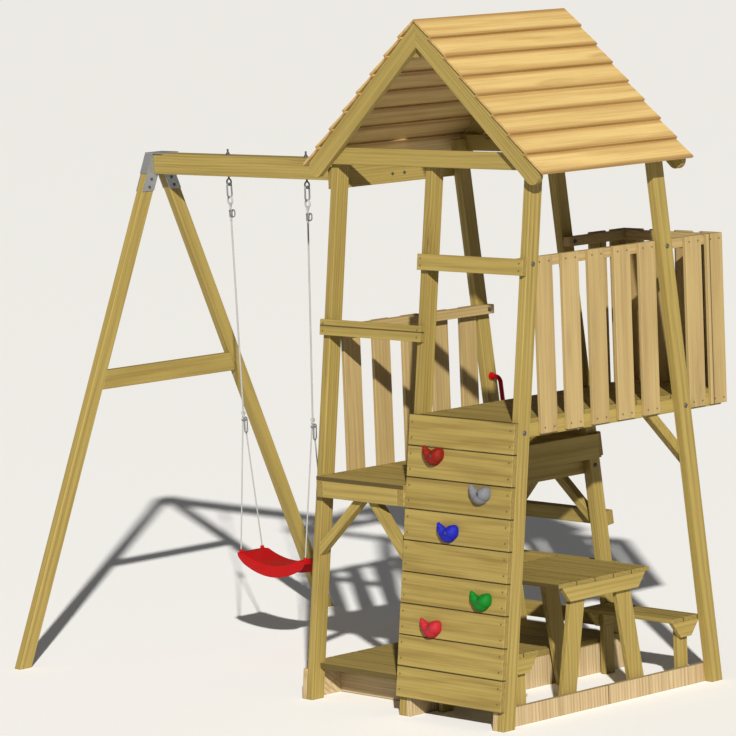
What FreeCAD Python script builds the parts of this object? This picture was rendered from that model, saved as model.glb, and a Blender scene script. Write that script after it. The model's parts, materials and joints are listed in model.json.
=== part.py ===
"""Garden play tower with a plank climbing wall, a low deck, a high deck with a balcony, a gabled
roof, a picnic set, a lidded sandpit and a swing hung from a side beam.

Millimetres. While it is built, X runs along the gable front from the left post, Y runs from front
to back and Z is up. At the end everything is moved so that the origin lies under the middle of
the whole object, on the ground.
"""
import FreeCAD, Part
import math
import os
from FreeCAD import Vector

# ---------------------------------------------------------------- driving dimensions
# Tower frame
bay_pitch = 640.0             # left face of one post to the left face of the next
post_x = 45.0                 # post thickness seen from the front
post_deep = 75.0              # post depth, square to its leaning faces
tower_depth = 1500.0          # outer face to outer face of the posts at the ground
post_lean = 7.0               # degrees that front and back posts lean in towards each other
post_height = 2600.0

# Timber stock
board_thick = 28.0            # wall planks, rails, kick boards, base boards
plank_wide = 145.0
joist_thick = 45.0
joist_high = 80.0
slat_thick = 20.0
slat_wide = 110.0
brace_wide = 45.0
thin_board = 20.0             # lower deck, table and bench boards
eased_edge = 2.5              # rounding of planed timber edges

# Climbing wall
wall_planks = 9
wall_plank_gap = 2.0
wall_base = 90.0              # ground to the lowest plank, measured up the lean
hold_places = (               # name, distance from the wall's left edge, height in planks
    ("hold_pink", 225.0, 2.33),
    ("hold_green", 540.0, 3.39),
    ("hold_blue", 305.0, 5.39),
    ("hold_grey", 500.0, 6.69),
    ("hold_brick", 185.0, 7.75),
)
hold_lobe = 38.0              # radius of the large lobe
hold_lobe_place = (22.0, 6.0)           # right of and above the hold's middle
hold_small_lobe = 25.0
hold_small_place = (-34.0, 14.0)
hold_tip = 11.0
hold_tip_place = (-22.0, -40.0)
hold_proud = 46.0             # how far a hold stands out of the wall
hold_small_share = 0.8        # of hold_proud, for the small lobe
hold_tip_share = 0.62
hold_valley_share = 0.5
hold_draft = 0.72             # crown radius of a lobe over its base radius
hold_web_base = 0.94          # half width of the webs over the lobe radius, at the wall
hold_web_crown = 0.66
hold_bolt_aside = 12.0        # bolt to the right of the hold's middle
hold_bolt_radius = 5.0
hold_bolt_past = 6.0          # bolt end behind the tee nut
hold_bore_clear = 0.5
hold_seat_deep = 12.0         # bolt seat below the hold's crown
hold_seat_radius = 10.0
hold_head_radius = 8.5
hold_head_high = 8.0
tee_nut_radius = 7.0
tee_nut_clear = 0.2
tee_nut_short = 6.0           # tee nut's end below the plank's face
tee_flange_radius = 12.0
tee_flange_thick = 2.0
thread_clear = 0.05

# Front rails and gable beams
rail_wide = 76.0
rail_screw_inset = 21.0       # screw to the rail's long edge
low_rail_base = 1733.0        # heights above the ground of the lower edges
high_rail_base = 2066.0
gable_beam_high = 80.0
gable_beam_base = 2540.0
side_beam_high = 105.0
side_beam_base = 2420.0

# High deck, balcony and its balustrade
high_deck_top = 1404.0
high_joist_high = 64.0
deck_board_wide = 120.0
deck_board_gap = 4.0
balcony_past = 120.0          # outer face of the balcony slats behind the posts' feet
balcony_side_slats = 2
balcony_slat_gap = 40.0
back_slat_count = 4
slat_top = 2145.0
slat_rise = 10.0              # high deck slats end this far above the joists' lower edge
slat_gap = 64.0
handrail_high = 45.0
handrail_drop = 5.0           # handrail top under the slat tops
post_clear = 4.0              # slats stay this far from a leaning post
rail_clear = 0.5              # handrail ends stay this far behind the front rails

# Low deck and its balustrade
low_deck_top = 1072.0
low_deck_proud = 45.0         # how far the low deck stands in front of the posts
kick_board_high = 119.0
left_slat_count = 5
left_slat_gap = 87.0
left_slat_drop = 12.0         # left slats end this far under the joists
left_handrail_top = 1777.0
brace_middle_gap = 12.0       # half the gap between the two knee braces of a pair
side_brace_reach = 215.0

# Ladder and grab handles
rung_thick = 45.0
rung_high = 70.0
rung_heights = (220.0, 480.0, 740.0)
handle_top = 1416.0
handle_length = 200.0
handle_tube_radius = 11.0
handle_stand_off = 60.0
handle_bend = 28.0
flange_radius = 20.0
flange_thick = 6.0

# Base boards and sandpit
low_base_board = 90.0
cross_board_place = 230.0     # front face of the front cross board
lid_board_wide = 149.0
lid_board_gap = 5.0
lid_set_back = 42.0           # lid's edge behind the outer face of the posts
lid_thick = 28.0

# Picnic set
table_top_height = 612.0
table_board_count = 5
table_cleat_high = 70.0
table_cleat_inset = 25.0      # cleat ends from the table's edges
cleat_cut_back = 0.75         # how far a cleat's ends are cut back, over its height
table_leg_wide = 95.0
table_leg_lean = 10.0         # degrees
table_foot_spread = 295.0     # half distance between the outer edges of the feet
bench_height = 331.0
bench_board_wide = 95.0
bench_board_count = 2
bench_cleat_high = 75.0
bench_cleat_inset = 4.0
bench_leg_wide = 70.0
bench_inner_edge = 457.0      # from the middle of the tower to the bench's near edge
furniture_gap = 2.0           # furniture ends this far from the post planes

# Roof
roof_pitch = 41.5             # degrees
roof_underside_peak = 3220.0
roof_half_run = 788.0         # ridge to eave, level, along the underside
roof_boards_a_side = 8
roof_board_wide = 145.0
roof_board_thin = 8.0
roof_board_thick = 12.0
roof_lap_lift = 10.0
barge_wide = 90.0
barge_inset = 10.0            # roof boards stand this far past the bargeboards
gusset_thick = 18.0
gusset_base = 3051.0

# Swing frame
swing_beam_length = 1727.0    # from the tower's side beam to the leg bracket
swing_beam_deep = 95.0
leg_x = 45.0
leg_deep = 70.0
leg_lean = 22.2               # degrees
leg_foot_half_spread = 1083.0
crossbar_base = 1350.0
crossbar_high = 95.0
bracket_plate = 5.0
bracket_height = 190.0
bracket_flange = 100.0        # height of the flanges over the legs' outer edges
bracket_tab = 75.0
bracket_bolt_drops = (130.0, 170.0)     # beam top to the bracket bolts
bracket_bolt_radius = 4.0
bracket_head_radius = 8.0
bracket_head_high = 5.0

# Swing
hook_middle = 945.0           # middle between the hooks, left of the front left post
hook_half_gap = 290.0
hook_drop = 48.0              # beam underside to the swing's turning line
hook_ring_radius = 16.0
hook_washer_radius = 14.0
hook_washer_thick = 3.0
hook_shank_past = 30.0        # shank end above the beam
steel_wire_radius = 4.0
shackle_length = 78.0
rope_radius = 5.0
bridle_radius = 4.0
rope_top_drop = 180.0         # turning line to the rope's top end, along the rope
rope_length = 975.0
adjuster_long = 45.0
adjuster_wide = 26.0
adjuster_thick = 14.0
end_trim = 4.0                # cut off each rounded end of the adjuster, where a rope enters
shackle_half_wide = 9.0
shackle_seat = 0.6            # shackle's top above the turning line, in hook ring radii
side_link_long = 84.0         # oblong link beside the adjuster
side_link_half_wide = 12.0
side_link_wire = 3.0
side_link_bite = 1.0          # how far the link is let into the adjuster
thimble_radius = 15.0
ferrule_radius = 9.0
link_clear = 1.0
seat_hang = 1862.0            # turning line to the seat rim
seat_long = 500.0
seat_deep = 180.0
seat_skirt = 61.0
seat_skin = 8.0
seat_end_skirt = 34.0
seat_flat = 40.0
seat_sag = 45.0
bridle_half_gap = 240.0       # seat middle to the bridles
bridle_spread = 72.0          # seat middle line to the bridle holes
bridle_top_half_gap = 6.0
boss_radius = 10.0
boss_high = 14.0

# Fasteners
bolt_radius = 5.0
bolt_hole_clear = 0.5
bolt_head_radius = 11.0
bolt_head_high = 6.0
bolt_head_crown = 0.5         # top radius of a domed head over its base radius
bolt_past_nut = 3.0
nut_radius = 9.0
nut_high = 9.0
lag_gap = 80.0                # between the two lag bolts in the swing beam's end
lag_height_share = 0.42       # their height up the side beam
lag_reach = 110.0             # their tips inside the swing beam
lag_head_high = 6.3
lag_pilot_past = 4.0
screw_radius = 2.5
screw_head_radius = 4.5
screw_head_proud = 0.3
screw_length = 60.0
screw_edge = 36.0             # screw to the plank's long edge

# ---------------------------------------------------------------- derived places
lean = math.radians(post_lean)
post_level_deep = post_deep / math.cos(lean)
mid_y = tower_depth / 2
balcony_back = tower_depth + balcony_past
post_lefts = [0.0, bay_pitch, 2 * bay_pitch]
tower_right = 2 * bay_pitch + post_x
ridge_x = tower_right / 2
right_bay = (bay_pitch + post_x, 2 * bay_pitch)     # clear width between the posts
left_bay = (post_x, bay_pitch)

nodes = {}


# ---------------------------------------------------------------- helpers
def eased(timber):
    """Rounds every edge of a timber a little, as planed stock is."""
    return timber.makeFillet(eased_edge, timber.Edges)


def box(x0, x1, y0, y1, z0, z1):
    return eased(Part.makeBox(x1 - x0, y1 - y0, z1 - z0, Vector(x0, y0, z0)))


def prism(corners, along):
    """Extrudes a closed outline of points."""
    return Part.Face(Part.makePolygon(corners + corners[:1])).extrude(along)


def side_prism(corners, x0, x1):
    """Extrudes an outline given as (y, z) corners from x0 to x1."""
    return prism([Vector(x0, y, z) for y, z in corners], Vector(x1 - x0, 0, 0))


def front_prism(corners, y0, y1):
    """Extrudes an outline given as (x, z) corners from y0 to y1."""
    return prism([Vector(x, y0, z) for x, z in corners], Vector(0, y1 - y0, 0))


def rod(start, end, radius):
    return Part.makeCylinder(radius, (end - start).Length, start, end - start)


def ring(centre, axis, middle_radius, wire_radius):
    return Part.makeTorus(middle_radius, wire_radius, centre, axis)


def to_back(shape):
    """The matching piece at the back of the tower."""
    return shape.mirror(Vector(0, mid_y, 0), Vector(0, 1, 0))


def face_y(z):
    """Y of the front posts' outer face at a height."""
    return z * math.tan(lean)


def up_the_lean(z):
    """Distance up the leaning face that reaches a height."""
    return z / math.cos(lean)


def lean_point(x, up, out):
    """A point given by its distance up the front face and its distance out of that face."""
    return Vector(x, up * math.sin(lean) - out * math.cos(lean),
                  up * math.cos(lean) + out * math.sin(lean))


def lean_board(x0, x1, up0, up1, out0, out1):
    """A board that lies along the leaning front face."""
    corners = [lean_point(x0, up, out) for up, out in
               ((up0, out0), (up1, out0), (up1, out1), (up0, out1))]
    return eased(prism(corners, Vector(x1 - x0, 0, 0)))


def piped(points, radius, bend):
    """A round bar along straight runs joined by arcs of one bend radius."""
    edges = []
    start = points[0]
    for before, corner, after in zip(points, points[1:], points[2:]):
        into = (corner - before).normalize()
        out_of = (after - corner).normalize()
        turn = into.getAngle(out_of)
        back_off = bend * math.tan(turn / 2)
        arc_start = corner - into * back_off
        arc_end = corner + out_of * back_off
        centre_way = (out_of - into).normalize()
        arc_middle = corner + centre_way * (bend / math.cos(turn / 2) - bend)
        edges.append(Part.LineSegment(start, arc_start).toShape())
        edges.append(Part.Arc(arc_start, arc_middle, arc_end).toShape())
        start = arc_end
    edges.append(Part.LineSegment(start, points[-1]).toShape())
    path = Part.Wire(edges)
    section = Part.Wire(Part.makeCircle(radius, points[0], points[1] - points[0]))
    return path.makePipeShell([section], True, True)


def spread(first, last, count):
    """Evenly spaced values from first to last."""
    return [first + (last - first) * i / (count - 1) for i in range(count)]


# ---------------------------------------------------------------- posts
def front_post(left):
    top_shift = face_y(post_height)
    outline = [(0, 0), (post_level_deep, 0), (post_level_deep + top_shift, post_height),
               (top_shift, post_height)]
    return eased(side_prism(outline, left, left + post_x))


for name, left in zip(("left", "middle", "right"), post_lefts):
    nodes["post_front_" + name] = front_post(left)
    nodes["post_back_" + name] = to_back(front_post(left))

# ---------------------------------------------------------------- gable beams and side beam
gable_beam = lean_board(0, tower_right, up_the_lean(gable_beam_base),
                        up_the_lean(gable_beam_base) + gable_beam_high, 0, board_thick)
nodes["gable_beams"] = Part.makeCompound([gable_beam, to_back(gable_beam)])

side_beam_ends = face_y(side_beam_base + side_beam_high)
side_beam = box(-board_thick, 0, side_beam_ends, tower_depth - side_beam_ends,
                side_beam_base, side_beam_base + side_beam_high)

# ---------------------------------------------------------------- front rails
low_rail_up = up_the_lean(low_rail_base)
high_rail_up = up_the_lean(high_rail_base)
low_rail = lean_board(0, bay_pitch + post_x, low_rail_up, low_rail_up + rail_wide, 0, board_thick)
high_rail = lean_board(bay_pitch, tower_right, high_rail_up, high_rail_up + rail_wide,
                       0, board_thick)
nodes["front_rails"] = Part.makeCompound([low_rail, high_rail])

# ---------------------------------------------------------------- climbing wall
plank_pitch = plank_wide + wall_plank_gap
wall_left = bay_pitch
wall_right = tower_right


def plank_base(index):
    return wall_base + index * plank_pitch


planks = [lean_board(wall_left, wall_right, plank_base(i), plank_base(i) + plank_wide,
                     0, board_thick) for i in range(wall_planks)]


def heart_hold(x, up):
    """A two-lobed grip: a large and a small round lobe that run down to one low tip."""
    big, small, tip = [(x + place[0], up + place[1], radius) for place, radius in
                       ((hold_lobe_place, hold_lobe), (hold_small_place, hold_small_lobe),
                        (hold_tip_place, hold_tip))]

    def lobe(circle, out):
        across, height, radius = circle
        start = lean_point(across, height, board_thick)
        end = lean_point(across, height, board_thick + out)
        return Part.makeCone(radius, radius * hold_draft, out, start, end - start)

    def web(a, b, out):
        """A wedge that fills the straight sides between two lobes."""
        length = math.hypot(b[0] - a[0], b[1] - a[1])
        side_x, side_up = (a[1] - b[1]) / length, (b[0] - a[0]) / length
        faces = []
        for level, scale in ((board_thick, hold_web_base), (board_thick + out, hold_web_crown)):
            corners = [lean_point(c[0] + way * side_x * c[2] * scale,
                                  c[1] + way * side_up * c[2] * scale, level)
                       for c, way in ((a, 1), (b, 1), (b, -1), (a, -1))]
            faces.append(Part.makePolygon(corners + corners[:1]))
        return Part.makeLoft(faces, True, True)

    tip_proud = hold_proud * hold_tip_share
    body = lobe(big, hold_proud).fuse(
        [lobe(small, hold_proud * hold_small_share), lobe(tip, tip_proud),
         web(big, tip, tip_proud), web(small, tip, tip_proud),
         web(big, small, hold_proud * hold_valley_share)])
    return body.removeSplitter()


bolts_for_holds = []
for name, across, planks_up in hold_places:
    x = wall_left + across
    up = wall_base + planks_up * plank_pitch
    crown = board_thick + hold_proud
    seat_floor = crown - hold_seat_deep

    def out_of_wall(start, end, radius):
        """A rod on the bolt's line between two distances out of the posts' face."""
        bolt_x = x + hold_bolt_aside
        return rod(lean_point(bolt_x, up, start), lean_point(bolt_x, up, end), radius)

    through = out_of_wall(board_thick - 1, crown + 1, hold_bolt_radius + hold_bore_clear)
    head_seat = out_of_wall(seat_floor, crown + 1, hold_seat_radius)
    nodes[name] = heart_hold(x, up).cut([through, head_seat])

    plank_index = int(planks_up)
    barrel = out_of_wall(-1, board_thick + 1, tee_nut_radius)
    planks[plank_index] = planks[plank_index].cut(barrel)

    shank = out_of_wall(-tee_flange_thick - hold_bolt_past, seat_floor + 1, hold_bolt_radius)
    head = out_of_wall(seat_floor, seat_floor + hold_head_high, hold_head_radius)
    bolts_for_holds.append(shank.fuse(head))
    tee = out_of_wall(0, board_thick - tee_nut_short, tee_nut_radius - tee_nut_clear).fuse(
        out_of_wall(-tee_flange_thick, 0, tee_flange_radius))
    bore = out_of_wall(-tee_flange_thick - 1, board_thick, hold_bolt_radius + thread_clear)
    bolts_for_holds.append(tee.cut(bore))
nodes["hold_bolts"] = Part.makeCompound(bolts_for_holds)

for i, plank in enumerate(planks):
    nodes["wall_plank_%d" % (i + 1)] = plank


def screw_at(x, up, out):
    """A flush wood screw driven square to the leaning face."""
    tip = lean_point(x, up, out - screw_length)
    head_base = lean_point(x, up, out - screw_head_radius)
    surface = lean_point(x, up, out + screw_head_proud)
    head = Part.makeCone(screw_radius, screw_head_radius, (surface - head_base).Length,
                         head_base, surface - head_base)
    return rod(tip, head_base, screw_radius).fuse(head)


screws = []
for i in range(wall_planks):
    for x in (wall_left + post_x / 2, wall_right - post_x / 2):
        for up in (plank_base(i) + screw_edge, plank_base(i) + plank_wide - screw_edge):
            screws.append(screw_at(x, up, board_thick))
for rail_up, lefts in ((low_rail_up, post_lefts[:2]), (high_rail_up, post_lefts[1:])):
    for left in lefts:
        for up in (rail_up + rail_screw_inset, rail_up + rail_wide - rail_screw_inset):
            screws.append(screw_at(left + post_x / 2, up, board_thick))
nodes["screws"] = Part.makeCompound(screws)

# ---------------------------------------------------------------- high deck and balcony
joist_top = high_deck_top - thin_board
joist_base = joist_top - high_joist_high
deck_front = face_y(high_deck_top)
joist_back = balcony_back - slat_thick
left_joist = (right_bay[0], right_bay[0] + joist_thick)
right_joist = (right_bay[1] - joist_thick, right_bay[1])
slat_base = joist_base + slat_rise


def joist_ladder(left_x, right_x, front, back, base, top, crossings):
    """Two side joists with cross joists let in between them."""
    pieces = [box(left_x[0], left_x[1], front, back, base, top),
              box(right_x[0], right_x[1], front, back, base, top)]
    for y in crossings:
        pieces.append(box(left_x[1], right_x[0], y, y + joist_thick, base, top))
    return pieces


high_crossings = spread(deck_front + post_level_deep, joist_back - joist_thick, 4)
nodes["high_deck_frame"] = Part.makeCompound(
    joist_ladder(left_joist, right_joist, deck_front, joist_back, joist_base, joist_top,
                 high_crossings))


def cross_boards(x0, x1, y0, y1, top, thick, wide, gap):
    """Boards laid side by side that fill y0 to y1, trimmed evenly to fit."""
    count = max(1, round((y1 - y0 + gap) / (wide + gap)))
    fitted = (y1 - y0 + gap) / count - gap
    return [box(x0, x1, y0 + i * (fitted + gap), y0 + i * (fitted + gap) + fitted,
                top - thick, top) for i in range(count)]


nodes["high_deck_boards"] = Part.makeCompound(
    cross_boards(right_bay[0], right_bay[1], deck_front, joist_back, high_deck_top, thin_board,
                 deck_board_wide, deck_board_gap))

# Right-hand slats: a run between the front and back posts, then a run along the balcony.
first_slat = face_y(slat_top) + post_level_deep + post_clear
run_end = tower_depth - first_slat


def slat_run(start, end, wide, gap):
    """Left edges of as many slats as fit between two places."""
    count = int((end - start + gap) // (wide + gap))
    return [start + i * (wide + gap) for i in range(count)]


right_slat_places = slat_run(first_slat, run_end, slat_wide, slat_gap)
balcony_slat_places = [balcony_back - slat_wide - i * (slat_wide + balcony_slat_gap)
                       for i in range(balcony_side_slats)]
slat_outer = right_bay[1] + slat_thick
nodes["right_slats"] = Part.makeCompound(
    [box(right_bay[1], slat_outer, y, y + slat_wide, slat_base, slat_top)
     for y in right_slat_places + balcony_slat_places])

back_slat_places = spread(right_bay[0] + furniture_gap,
                          right_bay[1] - slat_wide - furniture_gap, back_slat_count)
nodes["balcony_slats"] = Part.makeCompound(
    [box(x, x + slat_wide, joist_back, balcony_back, slat_base, slat_top)
     for x in back_slat_places] +
    [box(right_bay[0] - slat_thick, right_bay[0], y, y + slat_wide, slat_base, slat_top)
     for y in balcony_slat_places])

handrail_top = slat_top - handrail_drop
handrail_base = handrail_top - handrail_high
handrail_front = face_y(handrail_top) + rail_clear
nodes["right_handrail"] = box(right_joist[0], right_joist[1], handrail_front, joist_back,
                              handrail_base, handrail_top)
balcony_rail_front = tower_depth - face_y(handrail_base) - post_level_deep
nodes["balcony_handrails"] = Part.makeCompound([
    box(left_joist[0], left_joist[1], balcony_rail_front, joist_back,
        handrail_base, handrail_top),
    box(left_joist[1], right_joist[0], joist_back - joist_thick, joist_back,
        handrail_base, handrail_top)])

# ---------------------------------------------------------------- low deck
low_joist_top = low_deck_top - thin_board
low_joist_base = low_joist_top - joist_high
low_front = face_y(low_joist_top) - low_deck_proud
low_back = tower_depth - low_front
low_left_joist = (left_bay[0], left_bay[0] + joist_thick)
low_right_joist = (left_bay[1] - joist_thick, left_bay[1])
low_crossings = spread(low_front, low_back - joist_thick, 4)
nodes["low_deck_frame"] = Part.makeCompound(
    joist_ladder(low_left_joist, low_right_joist, low_front, low_back, low_joist_base,
                 low_joist_top, low_crossings))
low_boards_back = tower_depth - face_y(low_deck_top) - rail_clear
nodes["low_deck_boards"] = Part.makeCompound(
    cross_boards(left_bay[0], left_bay[1], low_front, low_boards_back, low_deck_top, thin_board,
                 deck_board_wide, deck_board_gap))

kick_up = up_the_lean(low_joist_top)
back_kick_board = to_back(lean_board(0, bay_pitch + post_x, kick_up, kick_up + kick_board_high,
                                     0, board_thick))
kick_front = face_y(low_joist_top + kick_board_high)
side_kick_board = box(right_bay[0], right_bay[0] + board_thick, kick_front,
                      tower_depth - kick_front, low_joist_top,
                      low_joist_top + kick_board_high)
nodes["kick_boards"] = Part.makeCompound([back_kick_board, side_kick_board])

left_run = left_slat_count * slat_wide + (left_slat_count - 1) * left_slat_gap
left_slat_places = [mid_y - left_run / 2 + i * (slat_wide + left_slat_gap)
                    for i in range(left_slat_count)]
left_slat_base = low_joist_base - left_slat_drop
nodes["left_slats"] = Part.makeCompound(
    [box(post_x - slat_thick, post_x, y, y + slat_wide, left_slat_base, left_handrail_top)
     for y in left_slat_places])
left_handrail_base = left_handrail_top - handrail_high
left_handrail_front = face_y(left_handrail_top) + rail_clear
nodes["left_handrail"] = box(low_left_joist[0], low_left_joist[1], left_handrail_front,
                             tower_depth - left_handrail_front, left_handrail_base,
                             left_handrail_top)


# ---------------------------------------------------------------- knee braces
def front_brace_pair():
    """Two 45 degree struts in the front posts' plane, from the posts to the deck's middle."""
    cut = brace_wide * math.sqrt(2)
    middle = (left_bay[0] + left_bay[1]) / 2
    top = low_joist_base
    pieces = []
    for side in (-1, 1):
        post_face = left_bay[0] if side < 0 else left_bay[1]
        inner = middle + side * brace_middle_gap
        outer = inner + side * cut
        fall = abs(post_face - outer)
        outline = [(inner, top), (outer, top), (post_face, top - fall),
                   (post_face, top - fall - cut)]
        strut = front_prism(outline, -joist_thick * 4, joist_thick * 8)
        slab = prism([lean_point(left_bay[0], up, out) for up, out in
                      ((0, -joist_thick), (post_height, -joist_thick), (post_height, 0), (0, 0))],
                     Vector(left_bay[1] - left_bay[0], 0, 0))
        pieces.append(eased(strut.common(slab)))
    return pieces


def side_brace(x0, x1, top, post_side_base):
    """A strut under a joist that runs down beside a back post."""
    cut = brace_wide * math.sqrt(2)
    foot_y = tower_depth - face_y(post_side_base)
    low = top - side_brace_reach
    outline = [(foot_y, low - cut), (foot_y, low), (foot_y - side_brace_reach, top),
               (foot_y - side_brace_reach - cut, top)]
    return eased(side_prism(outline, x0, x1))


front_braces = front_brace_pair()
nodes["knee_braces"] = Part.makeCompound(
    front_braces + [to_back(strut) for strut in front_braces] +
    [side_brace(right_joist[0], right_joist[1], joist_base, joist_base - side_brace_reach)])

# ---------------------------------------------------------------- base boards and sandpit
def base_board(x0, high):
    """A ground board whose ends are sawn flush with the leaning posts."""
    inset = face_y(high)
    outline = [(0, 0), (tower_depth, 0), (tower_depth - inset, high), (inset, high)]
    return eased(side_prism(outline, x0, x0 + board_thick))


left_base_board = base_board(-board_thick, plank_wide)
middle_base_board = base_board(right_bay[0], plank_wide)
right_base_board = base_board(right_bay[1] - board_thick, low_base_board)
cross_board = box(0, right_bay[0], cross_board_place, cross_board_place + board_thick,
                  0, plank_wide)
nodes["base_boards"] = Part.makeCompound(
    [left_base_board, middle_base_board, right_base_board, cross_board, to_back(cross_board)])

lid_front = face_y(plank_wide) + lid_set_back
lid_boards = cross_boards(-board_thick, right_bay[0] + board_thick, lid_front,
                          tower_depth - lid_front, plank_wide + lid_thick, lid_thick,
                          lid_board_wide, lid_board_gap)
lid_notches = []
for left in post_lefts[:2]:
    notch_back = face_y(plank_wide + lid_thick) + post_level_deep + furniture_gap
    notch = Part.makeBox(post_x + 2 * furniture_gap, notch_back - lid_front + 1, lid_thick + 2,
                         Vector(left - furniture_gap, lid_front - 1, plank_wide - 1))
    lid_notches += [notch, to_back(notch)]
lid_boards[0] = lid_boards[0].cut(lid_notches)
lid_boards[-1] = lid_boards[-1].cut(lid_notches)
nodes["sandpit_lid"] = Part.makeCompound(lid_boards)

# ---------------------------------------------------------------- ladder and grab handles
rungs = []
for height in rung_heights:
    up = up_the_lean(height) - rung_high / 2
    rungs.append(to_back(lean_board(0, bay_pitch + post_x, up, up + rung_high, 0, rung_thick)))
nodes["ladder_rungs"] = Part.makeCompound(rungs)


def grab_handle(face_x, inward):
    """A bent tube on two round flanges, on the inner side of a back post."""
    def at(stand_off, z):
        y = tower_depth - face_y(z) - post_level_deep / 2
        return Vector(face_x + inward * stand_off, y, z)

    low = handle_top - handle_length
    tube = piped([at(flange_thick, handle_top), at(handle_stand_off, handle_top),
                  at(handle_stand_off, low), at(flange_thick, low)],
                 handle_tube_radius, handle_bend)
    outward = Vector(inward, 0, 0)
    flanges = [Part.makeCylinder(flange_radius, flange_thick, at(0, z), outward)
               for z in (handle_top, low)]
    return tube.fuse(flanges)


nodes["grab_handles"] = Part.makeCompound([grab_handle(left_bay[0], 1), grab_handle(left_bay[1], -1)])

# ---------------------------------------------------------------- roof
pitch = math.radians(roof_pitch)
slope_length = roof_half_run / math.cos(pitch)
barge_back = lean_point(0, up_the_lean(gable_beam_base), board_thick).y
roof_front = barge_back - board_thick - barge_inset
roof_back = tower_depth - roof_front


def slope_point(down, out, side):
    """(x, z) of a point on a roof slope, from its distance down from the ridge and out of it."""
    level = down * math.cos(pitch) + out * math.sin(pitch)
    rise = -down * math.sin(pitch) + out * math.cos(pitch)
    return (ridge_x + side * level, roof_underside_peak + rise)


def roof_slope(side):
    """Feather-edged boards, each lapped over the one below it."""
    cover = slope_length / roof_boards_a_side
    boards = []
    for i in range(roof_boards_a_side):
        low_edge = slope_length - i * cover
        high_edge = max(low_edge - roof_board_wide, 0.0)
        mitre = roof_board_thin * math.tan(pitch) if high_edge == 0.0 else 0.0
        outline = [(high_edge, 0), (high_edge - mitre, roof_board_thin),
                   (low_edge, roof_lap_lift + roof_board_thick), (low_edge, roof_lap_lift)]
        boards.append(front_prism([slope_point(down, out, side) for down, out in outline],
                                  roof_front, roof_back))
    return Part.makeCompound(boards)


nodes["roof_boards_left"] = roof_slope(-1)
nodes["roof_boards_right"] = roof_slope(1)


def bargeboard(side):
    """A sloping board under the roof boards' ends, with a rounded foot and a plumb top cut."""
    def on_slope(down, out):
        x, z = slope_point(down, out, side)
        return Vector(x, 0, z)

    end_radius = barge_wide / 2
    foot = slope_length - end_radius - barge_inset
    peak = on_slope(0, 0)
    foot_top = on_slope(foot, 0)
    foot_end = on_slope(foot + end_radius, -end_radius)
    foot_low = on_slope(foot, -barge_wide)
    peak_low = on_slope(barge_wide * math.tan(pitch), -barge_wide)
    edges = [Part.LineSegment(peak, foot_top).toShape(),
             Part.Arc(foot_top, foot_end, foot_low).toShape(),
             Part.LineSegment(foot_low, peak_low).toShape(),
             Part.LineSegment(peak_low, peak).toShape()]
    board = Part.Face(Part.Wire(edges)).extrude(Vector(0, board_thick, 0))
    board.translate(Vector(0, barge_back - board_thick, 0))
    return board


barges = [bargeboard(side) for side in (-1, 1)]
gusset_half = (roof_underside_peak - gusset_base) / math.tan(pitch)
gusset = eased(front_prism(
    [(ridge_x - gusset_half, gusset_base), (ridge_x + gusset_half, gusset_base),
     (ridge_x, roof_underside_peak)], barge_back, barge_back + gusset_thick))
gable_trim = barges + [gusset]
nodes["bargeboards"] = Part.makeCompound(gable_trim + [to_back(piece) for piece in gable_trim])

# ---------------------------------------------------------------- picnic set
seat_x = (right_bay[0] + furniture_gap, right_bay[1] - furniture_gap)
table_deep = table_board_count * deck_board_wide + (table_board_count - 1) * deck_board_gap
nodes["table_top"] = Part.makeCompound(
    cross_boards(seat_x[0], seat_x[1], mid_y - table_deep / 2, mid_y + table_deep / 2,
                 table_top_height, thin_board, deck_board_wide, deck_board_gap))


def cleat(x0, x1, y0, y1, top, high):
    """A batten under a top, with both ends cut back below."""
    set_back = high * cleat_cut_back
    outline = [(y0, top), (y1, top), (y1 - set_back, top - high), (y0 + set_back, top - high)]
    return eased(side_prism(outline, x0, x1))


def table_trestle(outer, way):
    """A cleat with a pair of splayed legs screwed behind it; way points into the bay."""
    cleat_x = sorted((outer, outer + way * board_thick))
    leg_span = sorted((outer + way * board_thick, outer + way * 2 * board_thick))
    top = table_top_height - thin_board
    cleat_half = table_deep / 2 - table_cleat_inset
    pieces = [cleat(cleat_x[0], cleat_x[1], mid_y - cleat_half, mid_y + cleat_half, top,
                    table_cleat_high)]
    shift = top * math.tan(math.radians(table_leg_lean))
    level_wide = table_leg_wide / math.cos(math.radians(table_leg_lean))
    foot = mid_y - table_foot_spread
    outline = [(foot, 0), (foot + level_wide, 0), (foot + level_wide + shift, top),
               (foot + shift, top)]
    leg = eased(side_prism(outline, leg_span[0], leg_span[1]))
    return pieces + [leg, to_back(leg)]


nodes["table_trestles"] = Part.makeCompound(
    table_trestle(seat_x[1], -1) + table_trestle(seat_x[0] + board_thick + furniture_gap, 1))

bench_deep = bench_board_count * bench_board_wide + (bench_board_count - 1) * deck_board_gap
bench_front = mid_y - bench_inner_edge - bench_deep
bench_boards = cross_boards(seat_x[0], seat_x[1], bench_front, bench_front + bench_deep,
                            bench_height, thin_board, bench_board_wide, deck_board_gap)
nodes["bench_tops"] = Part.makeCompound(bench_boards + [to_back(b) for b in bench_boards])


def bench_trestle(outer, way):
    cleat_x = sorted((outer, outer + way * board_thick))
    leg_span = sorted((outer + way * board_thick, outer + way * 2 * board_thick))
    top = bench_height - thin_board
    leg_middle = bench_front + bench_deep / 2
    return [cleat(cleat_x[0], cleat_x[1], bench_front + bench_cleat_inset,
                  bench_front + bench_deep - bench_cleat_inset, top, bench_cleat_high),
            box(leg_span[0], leg_span[1], leg_middle - bench_leg_wide / 2,
                leg_middle + bench_leg_wide / 2, 0, top)]


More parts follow.
